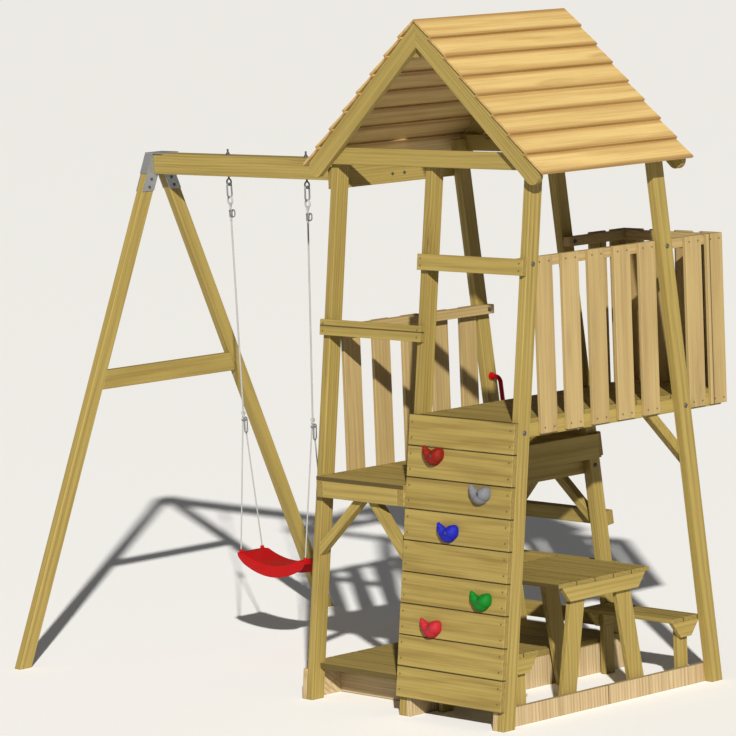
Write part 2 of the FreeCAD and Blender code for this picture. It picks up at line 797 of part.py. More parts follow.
bench_parts = bench_trestle(seat_x[1], -1) + bench_trestle(seat_x[0] + board_thick, 1)
nodes["bench_trestles"] = Part.makeCompound(bench_parts + [to_back(p) for p in bench_parts])

# ---------------------------------------------------------------- swing frame
beam_right = -board_thick
beam_left = beam_right - swing_beam_length
beam_front = mid_y - swing_beam_deep / 2
beam_back = mid_y + swing_beam_deep / 2
beam_top = side_beam_base + side_beam_high
swing_beam = box(beam_left, beam_right, beam_front, beam_back, side_beam_base, beam_top)

leg_right = beam_left - bracket_plate
leg_left = leg_right - leg_x
leg_slope = math.tan(math.radians(leg_lean))
leg_level = leg_deep / math.cos(math.radians(leg_lean))
leg_foot = mid_y - leg_foot_half_spread


def swing_leg():
    """A leaning leg, cut level at the foot and plumb where it meets its twin."""
    outline = [(leg_foot, 0), (leg_foot + leg_level, 0),
               (leg_foot + leg_level + beam_top * leg_slope, beam_top),
               (leg_foot + beam_top * leg_slope, beam_top)]
    leg = side_prism(outline, leg_left, leg_right)
    near_half = Part.makeBox(leg_x + 2, leg_foot_half_spread + 1, beam_top + 2,
                             Vector(leg_left - 1, leg_foot - 1, -1))
    return eased(leg.common(near_half))


front_leg = swing_leg()
nodes["swing_legs"] = Part.makeCompound([front_leg, to_back(front_leg)])


def leg_inner(z):
    return leg_foot + leg_level + z * leg_slope


crossbar_top = crossbar_base + crossbar_high
nodes["swing_crossbar"] = eased(side_prism(
    [(leg_inner(crossbar_base), crossbar_base), (leg_inner(crossbar_top), crossbar_top),
     (tower_depth - leg_inner(crossbar_top), crossbar_top),
     (tower_depth - leg_inner(crossbar_base), crossbar_base)], leg_left, leg_right))


def bracket():
    """A folded steel fitting: an inverted V on each face of the legs, joined over their tops,
    with a tab that lies on the beam."""
    base = beam_top - bracket_height
    outer = leg_foot + base * leg_slope
    v_outline = [(outer, base), (outer + leg_level, base),
                 (mid_y, base + (mid_y - outer - leg_level) / leg_slope),
                 (tower_depth - outer - leg_level, base), (tower_depth - outer, base),
                 (tower_depth - leg_foot - beam_top * leg_slope, beam_top),
                 (leg_foot + beam_top * leg_slope, beam_top)]
    inner_plate = side_prism(v_outline, leg_right, beam_left)
    outer_plate = side_prism(v_outline, leg_left - bracket_plate, leg_left)
    fold = bracket_plate / math.cos(math.radians(leg_lean))
    flange_base = beam_top - bracket_flange
    flange_low = leg_foot + flange_base * leg_slope
    flange_high = leg_foot + beam_top * leg_slope
    flange = side_prism([(flange_low, flange_base), (flange_high, beam_top),
                         (flange_high - fold, beam_top), (flange_low - fold, flange_base)],
                        leg_left - bracket_plate, beam_left)
    half_top = mid_y - flange_high + fold
    top_plate = Part.makeBox(beam_left + bracket_tab - leg_left + bracket_plate, 2 * half_top,
                             bracket_plate,
                             Vector(leg_left - bracket_plate, mid_y - half_top, beam_top))
    return inner_plate.fuse([outer_plate, flange, to_back(flange), top_plate]).removeSplitter()


# ---------------------------------------------------------------- hooks in the beam
turn_z = side_beam_base - hook_drop
hook_places = (-hook_middle - hook_half_gap, -hook_middle + hook_half_gap)


def beam_hook(x):
    """An eye bolt through the beam: ring below, washer and nut on top."""
    ring_centre = Vector(x, mid_y, turn_z + hook_ring_radius)
    eye = ring(ring_centre, Vector(0, 1, 0), hook_ring_radius, steel_wire_radius)
    shank = rod(Vector(x, mid_y, turn_z + 2 * hook_ring_radius),
                Vector(x, mid_y, beam_top + hook_shank_past), bolt_radius)
    collar, washer = [Part.makeCylinder(hook_washer_radius, hook_washer_thick,
                                        Vector(x, mid_y, z))
                      for z in (side_beam_base - hook_washer_thick, beam_top)]
    nut = Part.makeCylinder(nut_radius, nut_high, Vector(x, mid_y, beam_top + hook_washer_thick))
    return eye.fuse([shank, collar, washer, nut])


nodes["beam_hooks"] = Part.makeCompound([beam_hook(x) for x in hook_places])
hook_holes = [rod(Vector(x, mid_y, side_beam_base - 1), Vector(x, mid_y, beam_top + 1),
                  bolt_radius + bolt_hole_clear) for x in hook_places]
swing_beam = swing_beam.cut(hook_holes)

# ---------------------------------------------------------------- swing
rope_run = math.hypot(seat_hang, hook_half_gap - bridle_half_gap)
rope_tilt = math.degrees(math.asin((hook_half_gap - bridle_half_gap) / rope_run))


def hang(shape, x, side):
    """Moves a shape drawn below the origin to hang from a hook, tilted to the seat's end."""
    hung = shape.copy()
    hung.rotate(Vector(0, 0, 0), Vector(0, 1, 0), side * rope_tilt)
    hung.translate(Vector(x, mid_y, turn_z))
    return hung


def link_loop(top, length, half_wide, wire):
    """A closed oval link in the YZ plane whose upper bow passes over the point (0, 0, top)."""
    upper = top - half_wide
    lower = top - length + half_wide
    bows = []
    for centre_z, way in ((upper, 1), (lower, -1)):
        whole = ring(Vector(0, 0, centre_z), Vector(1, 0, 0), half_wide, wire)
        keep = Part.makeBox(4 * wire, 4 * half_wide, 2 * half_wide,
                            Vector(-2 * wire, -2 * half_wide,
                                   centre_z if way > 0 else centre_z - 2 * half_wide))
        bows.append(whole.common(keep))
    sides = [rod(Vector(0, y, lower), Vector(0, y, upper), wire) for y in (-half_wide, half_wide)]
    return bows[0].fuse(bows[1:] + sides).removeSplitter()


def hanging_links():
    """Shackle, rope thimble with its ferrule, and the adjuster that the rope splits under."""
    shackle_top = hook_ring_radius * shackle_seat
    shackle = link_loop(shackle_top, shackle_length, shackle_half_wide, steel_wire_radius)
    thimble_top = shackle_top - shackle_length + 2 * steel_wire_radius + link_clear
    thimble_middle = Vector(0, 0, thimble_top - thimble_radius + 2 * steel_wire_radius)
    thimble = ring(thimble_middle, Vector(0, 1, 0), thimble_radius, steel_wire_radius)
    ferrule = rod(thimble_middle - Vector(0, 0, thimble_radius), Vector(0, 0, -rope_top_drop),
                  ferrule_radius)
    top = -rope_top_drop - rope_length
    half = adjuster_wide / 2
    block = Part.makeBox(adjuster_thick, adjuster_wide, adjuster_long - adjuster_wide,
                         Vector(-adjuster_thick / 2, -half, top - adjuster_long + half))
    ends = [Part.makeCylinder(half, adjuster_thick, Vector(-adjuster_thick / 2, 0, z),
                              Vector(1, 0, 0)) for z in (top - half, top - adjuster_long + half)]
    adjuster = block.fuse(ends).removeSplitter()
    flat_ends = Part.makeBox(2 * adjuster_thick, 2 * adjuster_wide, adjuster_long - 2 * end_trim,
                             Vector(-adjuster_thick, -adjuster_wide, top - adjuster_long + end_trim))
    side_link = link_loop(top - adjuster_long / 2, side_link_long, side_link_half_wide,
                          side_link_wire)
    side_link.translate(Vector(adjuster_thick / 2 + side_link_wire - side_link_bite, 0, 0))
    return [shackle, thimble.fuse(ferrule), adjuster.common(flat_ends).fuse(side_link)]


def bridle():
    """Two straight rope legs from under the adjuster to the front and back of the seat's end."""
    top = -rope_top_drop - rope_length - adjuster_long + end_trim - link_clear
    foot = -rope_run + boss_high + link_clear
    return Part.makeCompound([rod(Vector(0, way * bridle_top_half_gap, top),
                                  Vector(0, way * bridle_spread, foot), bridle_radius)
                              for way in (-1, 1)])


swing_links = []
for x, side, name in zip(hook_places, (-1, 1), ("left", "right")):
    swing_links += [hang(piece, x, side) for piece in hanging_links()]
    rope = rod(Vector(0, 0, -rope_top_drop), Vector(0, 0, -rope_top_drop - rope_length - end_trim),
               rope_radius)
    nodes["rope_" + name] = hang(rope, x, side)
    nodes["bridle_" + name] = hang(bridle(), x, side)
nodes["swing_links"] = Part.makeCompound(swing_links)


def seat_layer(end_thick, middle_thick, y0, y1):
    """A dished layer under the seat's top curve: flat at the ends, hollow in between."""
    middle_x = -hook_middle
    rim = turn_z - seat_hang
    half = seat_long / 2

    def curve(end_drop, middle_drop, way):
        """End flat, dish and end flat, drawn towards +X or -X."""
        ends = [Vector(middle_x - way * half, y0, rim - end_drop),
                Vector(middle_x - way * (half - seat_flat), y0, rim - end_drop),
                Vector(middle_x, y0, rim - seat_sag - middle_drop),
                Vector(middle_x + way * (half - seat_flat), y0, rim - end_drop),
                Vector(middle_x + way * half, y0, rim - end_drop)]
        return ends, [Part.LineSegment(ends[0], ends[1]).toShape(),
                      Part.Arc(ends[1], ends[2], ends[3]).toShape(),
                      Part.LineSegment(ends[3], ends[4]).toShape()]

    top_points, top_edges = curve(0, 0, 1)
    low_points, low_edges = curve(end_thick, middle_thick, -1)
    closing = [Part.LineSegment(top_points[-1], low_points[0]).toShape(),
               Part.LineSegment(low_points[-1], top_points[0]).toShape()]
    outline = Part.Wire([*top_edges, closing[0], *low_edges, closing[1]])
    return Part.Face(outline).extrude(Vector(0, y1 - y0, 0))


def swing_seat():
    """A moulded sling seat: raised flat ends, a dished middle and a skirt along both edges."""
    front = mid_y - seat_deep / 2
    back = mid_y + seat_deep / 2
    skirts = [seat_layer(seat_end_skirt, seat_skirt, y, y + seat_skin)
              for y in (front, back - seat_skin)]
    bosses = [Part.makeCylinder(boss_radius, boss_high + seat_skin / 2,
                                Vector(-hook_middle + side * bridle_half_gap,
                                       mid_y + way * bridle_spread,
                                       turn_z - seat_hang - seat_skin / 2))
              for side in (-1, 1) for way in (-1, 1)]
    return seat_layer(seat_skin, seat_skin, front, back).fuse(skirts + bosses)


nodes["swing_seat"] = swing_seat()

# ---------------------------------------------------------------- frame bolts
bolts = []
holes = []


def cross_bolt(head_x, nut_x, y, z):
    """A coach bolt along X: domed head at head_x, washer and nut beyond nut_x."""
    way = 1.0 if nut_x > head_x else -1.0
    shank_end = nut_x + way * (nut_high + bolt_past_nut)
    shank = rod(Vector(head_x, y, z), Vector(shank_end, y, z), bolt_radius)
    head = Part.makeCone(bolt_head_radius, bolt_head_radius * bolt_head_crown, bolt_head_high,
                         Vector(head_x, y, z), Vector(-way, 0, 0))
    nut = Part.makeCylinder(nut_radius, nut_high, Vector(nut_x, y, z), Vector(way, 0, 0))
    bolts.append(shank.fuse([head, nut]))
    holes.append(rod(Vector(head_x, y, z), Vector(nut_x, y, z), bolt_radius + bolt_hole_clear))


def post_middle(z):
    return face_y(z) + post_level_deep / 2


high_z = (joist_base + joist_top) / 2
low_z = (low_joist_base + low_joist_top) / 2
right_rail_z = (handrail_base + handrail_top) / 2
left_rail_z = (left_handrail_base + left_handrail_top) / 2
for z, x_pairs in (
        (high_z, ((tower_right, right_joist[0]), (bay_pitch, left_joist[1]))),
        (low_z, ((0, low_left_joist[1]), (bay_pitch + post_x, low_right_joist[0]))),
        (right_rail_z, ((tower_right, right_joist[0]),)),
        (left_rail_z, ((0, low_left_joist[1]),))):
    for head_x, nut_x in x_pairs:
        for y in (post_middle(z), tower_depth - post_middle(z)):
            cross_bolt(head_x, nut_x, y, z)
cross_bolt(bay_pitch, left_joist[1], tower_depth - post_middle(right_rail_z), right_rail_z)

lag_tip = beam_right - lag_reach
for y in (mid_y - lag_gap / 2, mid_y + lag_gap / 2):
    z = side_beam_base + side_beam_high * lag_height_share
    lag = rod(Vector(0, y, z), Vector(lag_tip, y, z), bolt_radius)
    lag_head = Part.makeCylinder(nut_radius, lag_head_high, Vector(0, y, z), Vector(1, 0, 0))
    bolts.append(lag.fuse(lag_head))
    holes.append(rod(Vector(1, y, z), Vector(lag_tip - lag_pilot_past, y, z),
                     bolt_radius + bolt_hole_clear))

for drop in bracket_bolt_drops:
    z = beam_top - drop
    near_y = leg_foot + z * leg_slope + leg_level / 2
    for y in (near_y, tower_depth - near_y):
        start = Vector(beam_left, y, z)
        end = Vector(leg_left - bracket_plate, y, z)
        heads = [Part.makeCylinder(bracket_head_radius, bracket_head_high, place, way)
                 for place, way in ((start, Vector(1, 0, 0)), (end, Vector(-1, 0, 0)))]
        bolts.append(rod(start, end, bracket_bolt_radius).fuse(heads))
        holes.append(rod(start, end, bracket_bolt_radius + bolt_hole_clear))
nodes["apex_bracket"] = bracket()
nodes["frame_bolts"] = Part.makeCompound(bolts)
nodes["side_top_beam"] = side_beam
nodes["swing_beam"] = swing_beam

drilled = ["post_front_left", "post_front_middle", "post_front_right", "post_back_left",
           "post_back_middle", "post_back_right", "high_deck_frame", "low_deck_frame",
           "right_handrail", "left_handrail", "balcony_handrails", "side_top_beam", "swing_beam",
           "swing_legs", "apex_bracket"]
for name in drilled:
    near = [hole for hole in holes if hole.BoundBox.intersect(nodes[name].BoundBox)]
    if near:
        nodes[name] = nodes[name].cut(near)

# ---------------------------------------------------------------- origin and export
whole = FreeCAD.BoundBox()
for shape in nodes.values():
    whole.add(shape.optimalBoundingBox(False))
shift = Vector(-(whole.XMin + whole.XMax) / 2, -(whole.YMin + whole.YMax) / 2, -whole.ZMin)
os.makedirs("parts", exist_ok=True)
for name, shape in nodes.items():
    moved = shape.copy()
    moved.translate(shift)
    moved.exportStep("parts/%s.step" % name)

turning_line = Vector(0, mid_y, turn_z) + shift
print("nodes", len(nodes))
print("overall %.1f x %.1f x %.1f mm" % (whole.XLength, whole.YLength, whole.ZLength))
print("shift %.2f %.2f %.2f" % (shift.x, shift.y, shift.z))
print("swing turns about y %.2f z %.2f" % (turning_line.y, turning_line.z))
print("bolts %d, screws %d" % (len(bolts), len(screws)))
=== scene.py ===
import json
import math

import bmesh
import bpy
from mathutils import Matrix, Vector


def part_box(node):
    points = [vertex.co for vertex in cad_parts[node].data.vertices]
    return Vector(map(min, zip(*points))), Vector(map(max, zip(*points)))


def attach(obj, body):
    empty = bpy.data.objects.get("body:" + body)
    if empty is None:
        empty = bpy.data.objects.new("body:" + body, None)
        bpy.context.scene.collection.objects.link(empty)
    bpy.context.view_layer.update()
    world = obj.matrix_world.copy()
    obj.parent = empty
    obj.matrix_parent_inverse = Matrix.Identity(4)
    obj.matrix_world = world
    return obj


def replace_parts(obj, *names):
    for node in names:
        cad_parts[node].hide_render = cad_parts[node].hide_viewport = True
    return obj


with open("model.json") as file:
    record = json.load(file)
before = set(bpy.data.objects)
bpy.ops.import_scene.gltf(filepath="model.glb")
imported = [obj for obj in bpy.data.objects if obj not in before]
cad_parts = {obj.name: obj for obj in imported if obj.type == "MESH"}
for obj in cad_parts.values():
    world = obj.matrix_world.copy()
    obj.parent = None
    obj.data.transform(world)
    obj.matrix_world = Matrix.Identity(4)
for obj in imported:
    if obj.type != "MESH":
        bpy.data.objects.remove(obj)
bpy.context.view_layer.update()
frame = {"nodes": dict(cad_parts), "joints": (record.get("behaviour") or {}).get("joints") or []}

# %% [markdown]
# # A garden play tower with a climbing wall
# The timber frame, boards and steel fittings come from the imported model. This script adds what
# the model leaves plain: moulded climbing holds, laid ropes, a ribbed swing seat, coach bolts and
# screws, and the wood, steel, plastic and rope finishes. All lengths are metres, with the origin
# on the ground under the middle of the object, +X towards the climbing wall and +Y towards the
# ladder at the back.

nodes = frame["nodes"]

# %% [markdown]
# ## Shared sizes
# The post lean, the width over the low deck's posts and the swing's turning line are used by many
# pieces; EVERYWHERE is a length past any piece. Most other places are read from the boxes of the
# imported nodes, so the looks follow the model.

# %% Shared sizes
LEAN = math.radians(7.0)
FRONT_UP = Vector((0, math.sin(LEAN), math.cos(LEAN)))
FRONT_OUT = Vector((0, -math.cos(LEAN), math.sin(LEAN)))
BACK_UP = Vector((0, -math.sin(LEAN), math.cos(LEAN)))
AXIS_X, AXIS_Y, AXIS_Z = (Vector(axis) for axis in ((1, 0, 0), (0, 1, 0), (0, 0, 1)))
LEFT_BAY = 0.685
EVERYWHERE = 9.0
tower_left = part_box("post_front_left")[0].x
turn = Vector(frame["joints"][0]["pos_m"])
print("tower's left face at", round(tower_left, 4), "swing turns at", tuple(turn))

# %% [markdown]
# ## Camera
# A long lens looks from beyond the climbing wall's corner, nearly level, from about 4 m up. The
# values below are the camera's own backward direction, roughly its right, and where it stands
# from the foot of the front left post.

# %% Camera
camera = bpy.data.objects.new("camera", bpy.data.cameras.new("camera"))
bpy.context.scene.collection.objects.link(camera)
BACKWARD = (0.7218, -0.6820, 0.1179)
ROUGHLY_RIGHT = (0.6897, 0.7230, -0.0402)
FROM_FOOT = (14.561, -13.263, 3.920)
backward = Vector(BACKWARD).normalized()
upward = backward.cross(Vector(ROUGHLY_RIGHT)).normalized()
rightward = upward.cross(backward)
foot = Vector((tower_left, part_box("post_front_left")[0].y, 0))
place = foot + Vector(FROM_FOOT)
camera.matrix_world = Matrix((rightward, upward, backward)).transposed().to_4x4()
camera.location = place
camera.data.lens = 204.75
camera.data.sensor_width = 36.0
camera.data.clip_end = 200.0
bpy.context.scene.camera = camera
print("camera at", [round(v, 2) for v in camera.location])

# %% [markdown]
# ## Light and floor
# One slightly soft sun throws the tower's shadow back and to the left over a white floor, and a
# large panel and a pale world fill the shadows.

# %% Light and floor
def lamp(name, kind, energy, place, target):
    """Adds a light of one kind that points from a place to a target."""
    data = bpy.data.lights.new(name, kind)
    data.energy = energy
    light = bpy.data.objects.new(name, data)
    light.location = place
    light.rotation_euler = (Vector(target) - Vector(place)).to_track_quat("-Z", "Y").to_euler()
    bpy.context.scene.collection.objects.link(light)
    return data


sun = lamp("sun", "SUN", 5.6, (6.9, -5.8, 4.6), (0, 0, 0))
sun.angle = math.radians(1.2)
sun.color = (1.0, 0.97, 0.91)
lamp("fill panel", "AREA", 45, (-6, -9, 6), (0, 0, 1.2)).size = 6.0
world = bpy.data.worlds.new("studio")
world.use_nodes = True
world.node_tree.nodes["Background"].inputs["Color"].default_value = (1, 1, 1, 1)
world.node_tree.nodes["Background"].inputs["Strength"].default_value = 0.11
bpy.context.scene.world = world
bpy.context.scene.view_settings.view_transform = "Standard"
bpy.ops.object.select_all(action="DESELECT")
bpy.ops.mesh.primitive_plane_add(size=700)
floor = bpy.context.object
floor.name = "floor"
white = bpy.data.materials.new("white floor")
white.use_nodes = True
white.node_tree.nodes["Principled BSDF"].inputs["Base Color"].default_value = (0.96, 0.96, 0.96, 1)
white.node_tree.nodes["Principled BSDF"].inputs["Roughness"].default_value = 0.9
floor.data.materials.append(white)

# %% [markdown]
# ## Shader maths as Python sums
# A wood grain is a sum of many small steps. `Number` wraps one socket, so that `a * 2 + b` adds
# the Math nodes, and `Finish` is one material: its `node` method makes every other kind of node.

# %% Shader kit
class Number:
    """One number that varies over a surface."""

    def __init__(self, finish, socket):
        self.finish = finish
        self.socket = socket

    def math(self, operation, *values):
        node = self.finish.node("ShaderNodeMath", {"operation": operation},
                                dict(enumerate(values)))
        return Number(self.finish, node.outputs[0])

    def __add__(self, other):
        return self.math("ADD", self, other)

    def __sub__(self, other):
        return self.math("SUBTRACT", self, other)

    def __rsub__(self, other):
        return self.math("SUBTRACT", other, self)

    def __mul__(self, other):
        return self.math("MULTIPLY", self, other)

    def __truediv__(self, other):
        return self.math("DIVIDE", self, other)

    def __pow__(self, other):
        return self.math("POWER", self, other)

    def __gt__(self, other):
        return self.math("GREATER_THAN", self, other)

    __radd__ = __add__
    __rmul__ = __mul__

    def one(self, operation):
        return self.math(operation, self)

    def ramp(self, low, high):
        """0 at low and 1 at high, smooth in between."""
        node = self.finish.node("ShaderNodeMapRange", {"interpolation_type": "SMOOTHSTEP"},
                                {"Value": self, "From Min": low, "From Max": high})
        return Number(self.finish, node.outputs["Result"])


class Finish:
    """One node material with a Principled shader."""

    def __init__(self, name, **shader_settings):
        self.material = bpy.data.materials.new(name)
        self.material.use_nodes = True
        self.tree = self.material.node_tree
        self.shader = self.tree.nodes["Principled BSDF"]
        for socket, value in shader_settings.items():
            self.shader.inputs[socket.replace("_", " ")].default_value = value
        self.point = self.node("ShaderNodeTexCoord").outputs["Object"]
        self.normal = self.node("ShaderNodeNewGeometry").outputs["Normal"]

    def put(self, socket, value):
        """Sets a socket to a number or colour, or links it."""
        if isinstance(value, Number):
            value = value.socket
        if isinstance(value, bpy.types.NodeSocket):
            self.tree.links.new(value, socket)
        elif isinstance(value, (int, float)) or len(value) == len(socket.default_value):
            socket.default_value = value
        else:
            socket.default_value = (*value, 1)

    def node(self, kind, settings=None, sockets=None):
        node = self.tree.nodes.new(kind)
        for name, value in (settings or {}).items():
            setattr(node, name, value)
        for name, value in (sockets or {}).items():
            self.put(node.inputs[name], value)
        return node

    def vector(self, operation, *values):
        node = self.node("ShaderNodeVectorMath", {"operation": operation},
                         dict(enumerate(values)))
        return node.outputs["Vector"]

    def dot(self, a, b):
        node = self.node("ShaderNodeVectorMath", {"operation": "DOT_PRODUCT"}, {0: a, 1: b})
        return Number(self, node.outputs["Value"])

    def join(self, x, y, z):
        return self.node("ShaderNodeCombineXYZ", sockets={0: x, 1: y, 2: z}).outputs[0]

    def split(self, vector):
        node = self.node("ShaderNodeSeparateXYZ", sockets={0: vector})
        return [Number(self, socket) for socket in node.outputs]

    def noise(self, vector, scale, detail=3.0, roughness=0.5):
        node = self.node("ShaderNodeTexNoise",
                         sockets={"Vector": vector, "Scale": scale, "Detail": detail,
                                  "Roughness": roughness})
        return Number(self, node.outputs["Fac"])

    def mix(self, amount, a, b, blend="MIX"):
        """A colour between two colours."""
        node = self.node("ShaderNodeMix", {"data_type": "RGBA", "blend_type": blend})
        for name, value in (("Factor_Float", amount), ("A_Color", a), ("B_Color", b)):
            self.put(next(s for s in node.inputs if s.identifier == name), value)
        return next(s for s in node.outputs if s.identifier == "Result_Color")

    def mix_vector(self, amount, a, b):
        """A vector between two vectors."""
        node = self.node("ShaderNodeMix", {"data_type": "VECTOR"})
        for name, value in (("Factor_Float", amount), ("A_Vector", a), ("B_Vector", b)):
            self.put(next(s for s in node.inputs if s.identifier == name), value)
        return next(s for s in node.outputs if s.identifier == "Result_Vector")

    def wear(self, colour, roughness=None, height=None, depth=0.001, strength=0.5):
        """Feeds the shader's colour, roughness and bump."""
        self.put(self.shader.inputs["Base Color"], colour)
        if roughness is not None:
            self.put(self.shader.inputs["Roughness"], roughness)
        if height is not None:
            bump = self.node("ShaderNodeBump", sockets={"Strength": strength, "Distance": depth,
                                                        "Height": height})
            self.put(self.shader.inputs["Normal"], bump.outputs["Normal"])
        return self.material


print("shader kit ready")

# %% [markdown]
# ## Where each board lies
# Many boards share one CAD node. A copy of the node's mesh, with its doubles merged, falls into
# islands, one for each board, and their boxes say where the screws and the grain go.

# %% Boards of a node
def boards(node, axes=(AXIS_X, AXIS_Y, AXIS_Z)):
    """The (lowest, highest) places of each separate solid in a CAD node, along three axes."""
    copy = bmesh.new()
    copy.from_mesh(nodes[node].data)
    bmesh.ops.remove_doubles(copy, verts=copy.verts, dist=1e-5)
    left = set(copy.verts)
    found = []
    while left:
        island = []
        front = [left.pop()]
        while front:
            vertex = front.pop()
            island.append([vertex.co.dot(axis) for axis in axes])
            for edge in vertex.link_edges:
                other = edge.other_vert(vertex)
                if other in left:
                    left.remove(other)
                    front.append(other)
        found.append((Vector(min(p[i] for p in island) for i in range(3)),
                      Vector(max(p[i] for p in island) for i in range(3))))
    copy.free()
    return sorted(found, key=lambda pair: tuple(pair[0]))


def row_of(node, axis, count=None):
    """Where a row of equal boards starts along an axis, and its pitch."""
    starts = sorted({round(low[axis], 4) for low, high in boards(node)})[:count]
    pitch = (starts[-1] - starts[0]) / (len(starts) - 1)
    widths = [high[axis] - low[axis] for low, high in boards(node)]
    return starts[0] - (pitch - min(widths)) / 2, pitch


print("low deck boards", len(boards("low_deck_boards")))

# %% [markdown]
# ## Planed pine
# Planed softwood shows long, nearly straight grain lines that waver a little, finer fibres, a few
# knots that push the lines aside and slightly darker sawn ends. The lines here are tubes round a
# pith that lies well to one side of each board, mixed with noise stretched along the grain, so one
# solid pattern gives faces, edges and ends that agree. Each board in a row draws its own random
# numbers, so no two boards match. Beside each joint the wood is darkened, partly as dirt and partly
# as painted shade in the gap, and overlapping roof boards get a painted shade band along their
# edges.

# %% Pine
RING = 0.0145
KNOT_LONG = 0.55
KNOT_WIDE = 0.11


def pine(name, pale, dark, grain, broad, row=(0.0, 3.0), seed=0.0, other=None, knots=0.8,
         contrast=0.5, seam=0.005, band=0.0):
    """A solid pine finish. grain and broad are directions; row is the start and pitch of boards
    side by side along broad, and seam the width beside each joint darkened by dirt and painted
    shade. band is the strength of painted shade along both long edges of an overlapping board.
    other is (grain, broad, axis, low, high): outside low to high along axis, the timbers of the
    node run in those other directions."""
    finish = Finish(name, Specular_IOR_Level=0.3)

    def local(grain, broad):
        thick = grain.cross(broad)
        return [finish.dot(finish.point, tuple(axis)) for axis in (grain, broad, thick)]

    along, across, deep = local(grain, broad)
    facing = tuple(grain)
    if other:
        place = finish.dot(finish.point, tuple(other[2]))
        outside = (other[3] - place).ramp(-0.0005, 0.0005) + (place - other[4]).ramp(-5e-4, 5e-4)
        turned = finish.mix_vector(outside, finish.join(along, across, deep),
                                   finish.join(*local(other[0], other[1])))
        along, across, deep = finish.split(turned)
        facing = finish.mix_vector(outside, tuple(grain), tuple(other[0]))
    index = ((across - row[0]) / row[1]).one("FLOOR")
    inside = across - row[0] - (index + 0.5) * row[1]
    draw = finish.node("ShaderNodeTexWhiteNoise", {"noise_dimensions": "2D"},
                       {"Vector": finish.join(index * 1.37 + seed, seed * 0.73, 0)})
    first, second, third = finish.split(draw.outputs["Color"])
    shifted = along + first * 40 + seed * 3.1
    field = finish.join(shifted, inside + second * 7, deep + third * 5)
    knot = finish.node("ShaderNodeTexVoronoi", {"feature": "F1"},
                       {"Vector": finish.join(shifted / KNOT_LONG, inside / KNOT_WIDE + second * 9,
                                              deep / KNOT_WIDE), "Scale": 1.0, "Randomness": 1.0})
    chosen = finish.split(knot.outputs["Color"])[0] > knots
    near = Number(finish, knot.outputs["Distance"])
    heart = (1 - near.ramp(0.03, 0.08)) * chosen
    halo = (1 - near.ramp(0.04, 0.36)) * chosen
    wander = finish.noise(finish.vector("MULTIPLY", field, (0.9, 3.5, 3.5)), 1.0, 2.0)
    ripple = finish.noise(finish.vector("MULTIPLY", field, (5.0, 30.0, 30.0)), 1.0, 2.0)
    side = inside + 0.09 + second * 0.12
    below = deep + 0.02 + third * 0.10
    radius = (side * side + below * below).one("SQRT")
    radius = radius + wander * 0.035 + ripple * 0.006 + halo * 0.010
    ring = (radius * (math.tau / RING)).one("SINE") * 0.5 + 0.5
    streak = finish.noise(finish.vector("MULTIPLY", field, (1.3, 75.0, 75.0)), 1.0, 3.0, 0.6)
    fibre = finish.noise(finish.vector("MULTIPLY", field, (14.0, 420.0, 420.0)), 1.0, 2.0)
    tone = finish.noise(finish.vector("MULTIPLY", field, (1.6, 9.0, 9.0)), 1.0, 3.0)
    late = ring ** 1.8 * 0.55 + streak.ramp(0.38, 0.68) * 0.65
    ends = finish.dot(finish.normal, facing).one("ABSOLUTE").ramp(0.80, 0.95)
    fresh = finish.mix((tone - 0.5) * 1.1 + (third - 0.5) * 0.5 + 0.45, pale,
                       tuple(channel * tint for channel, tint in zip(pale, (0.84, 0.83, 0.74))))
    grained = finish.mix(late * contrast, fresh, dark)
    grained = finish.mix((fibre - 0.45).ramp(0.0, 0.4) * 0.2, grained, dark)
    grained = finish.mix(halo * 0.3, grained, tuple(c * 0.75 for c in dark))
    grained = finish.mix(heart * 0.8, grained, (0.10, 0.048, 0.018))
    grained = finish.mix(ends * 0.35, grained, tuple(c * 0.7 for c in dark))
    reach = inside.one("ABSOLUTE")
    # Painted shade: a streaky dark band along both long edges of each overlapping roof board stands
    # in for the shadow of the lap.
    if band:
        lap_shade = (reach / row[1]).ramp(0.26, 0.5) * (0.35 + streak * 1.1)
        grained = finish.mix(lap_shade * band, grained, tuple(c * 0.8 for c in dark))
    # Painted shade, partly dirt: the wood beside each joint is darkened as a shaded gap between
    # boards would look.
    if seam:
        dirt = reach.ramp(row[1] / 2 - seam, row[1] / 2 - seam * 0.4)
        grained = finish.mix(dirt * 0.85, grained, tuple(c * 0.25 for c in dark))
    roughness = 0.55 + late * 0.10 + fibre * 0.12
    height = late * 0.5 + fibre * 0.45 + heart * 0.6
    return finish.wear(grained, roughness, height, depth=0.0006, strength=0.4)


GREEN_PINE = ((0.335, 0.252, 0.072), (0.160, 0.104, 0.024))
TAN_PINE = ((0.395, 0.292, 0.128), (0.225, 0.145, 0.060))
PALE_PINE = ((0.500, 0.395, 0.235), (0.280, 0.180, 0.085))
ROOF_PINE = ((0.660, 0.480, 0.200), (0.340, 0.180, 0.050))


def dress(node, material):
    """Gives a CAD node or a piece one finish."""
    target = nodes[node] if isinstance(node, str) else node
    target.data.materials.clear()
    target.data.materials.append(material)


print("pine finishes", GREEN_PINE, TAN_PINE, PALE_PINE, ROOF_PINE)

# %% [markdown]
# ## Timber nodes
# Every timber gets the grain along its own length. Posts lean, roof boards run level, struts run
# at 45 degrees, and where one node holds timbers both ways, a place along one axis parts them.

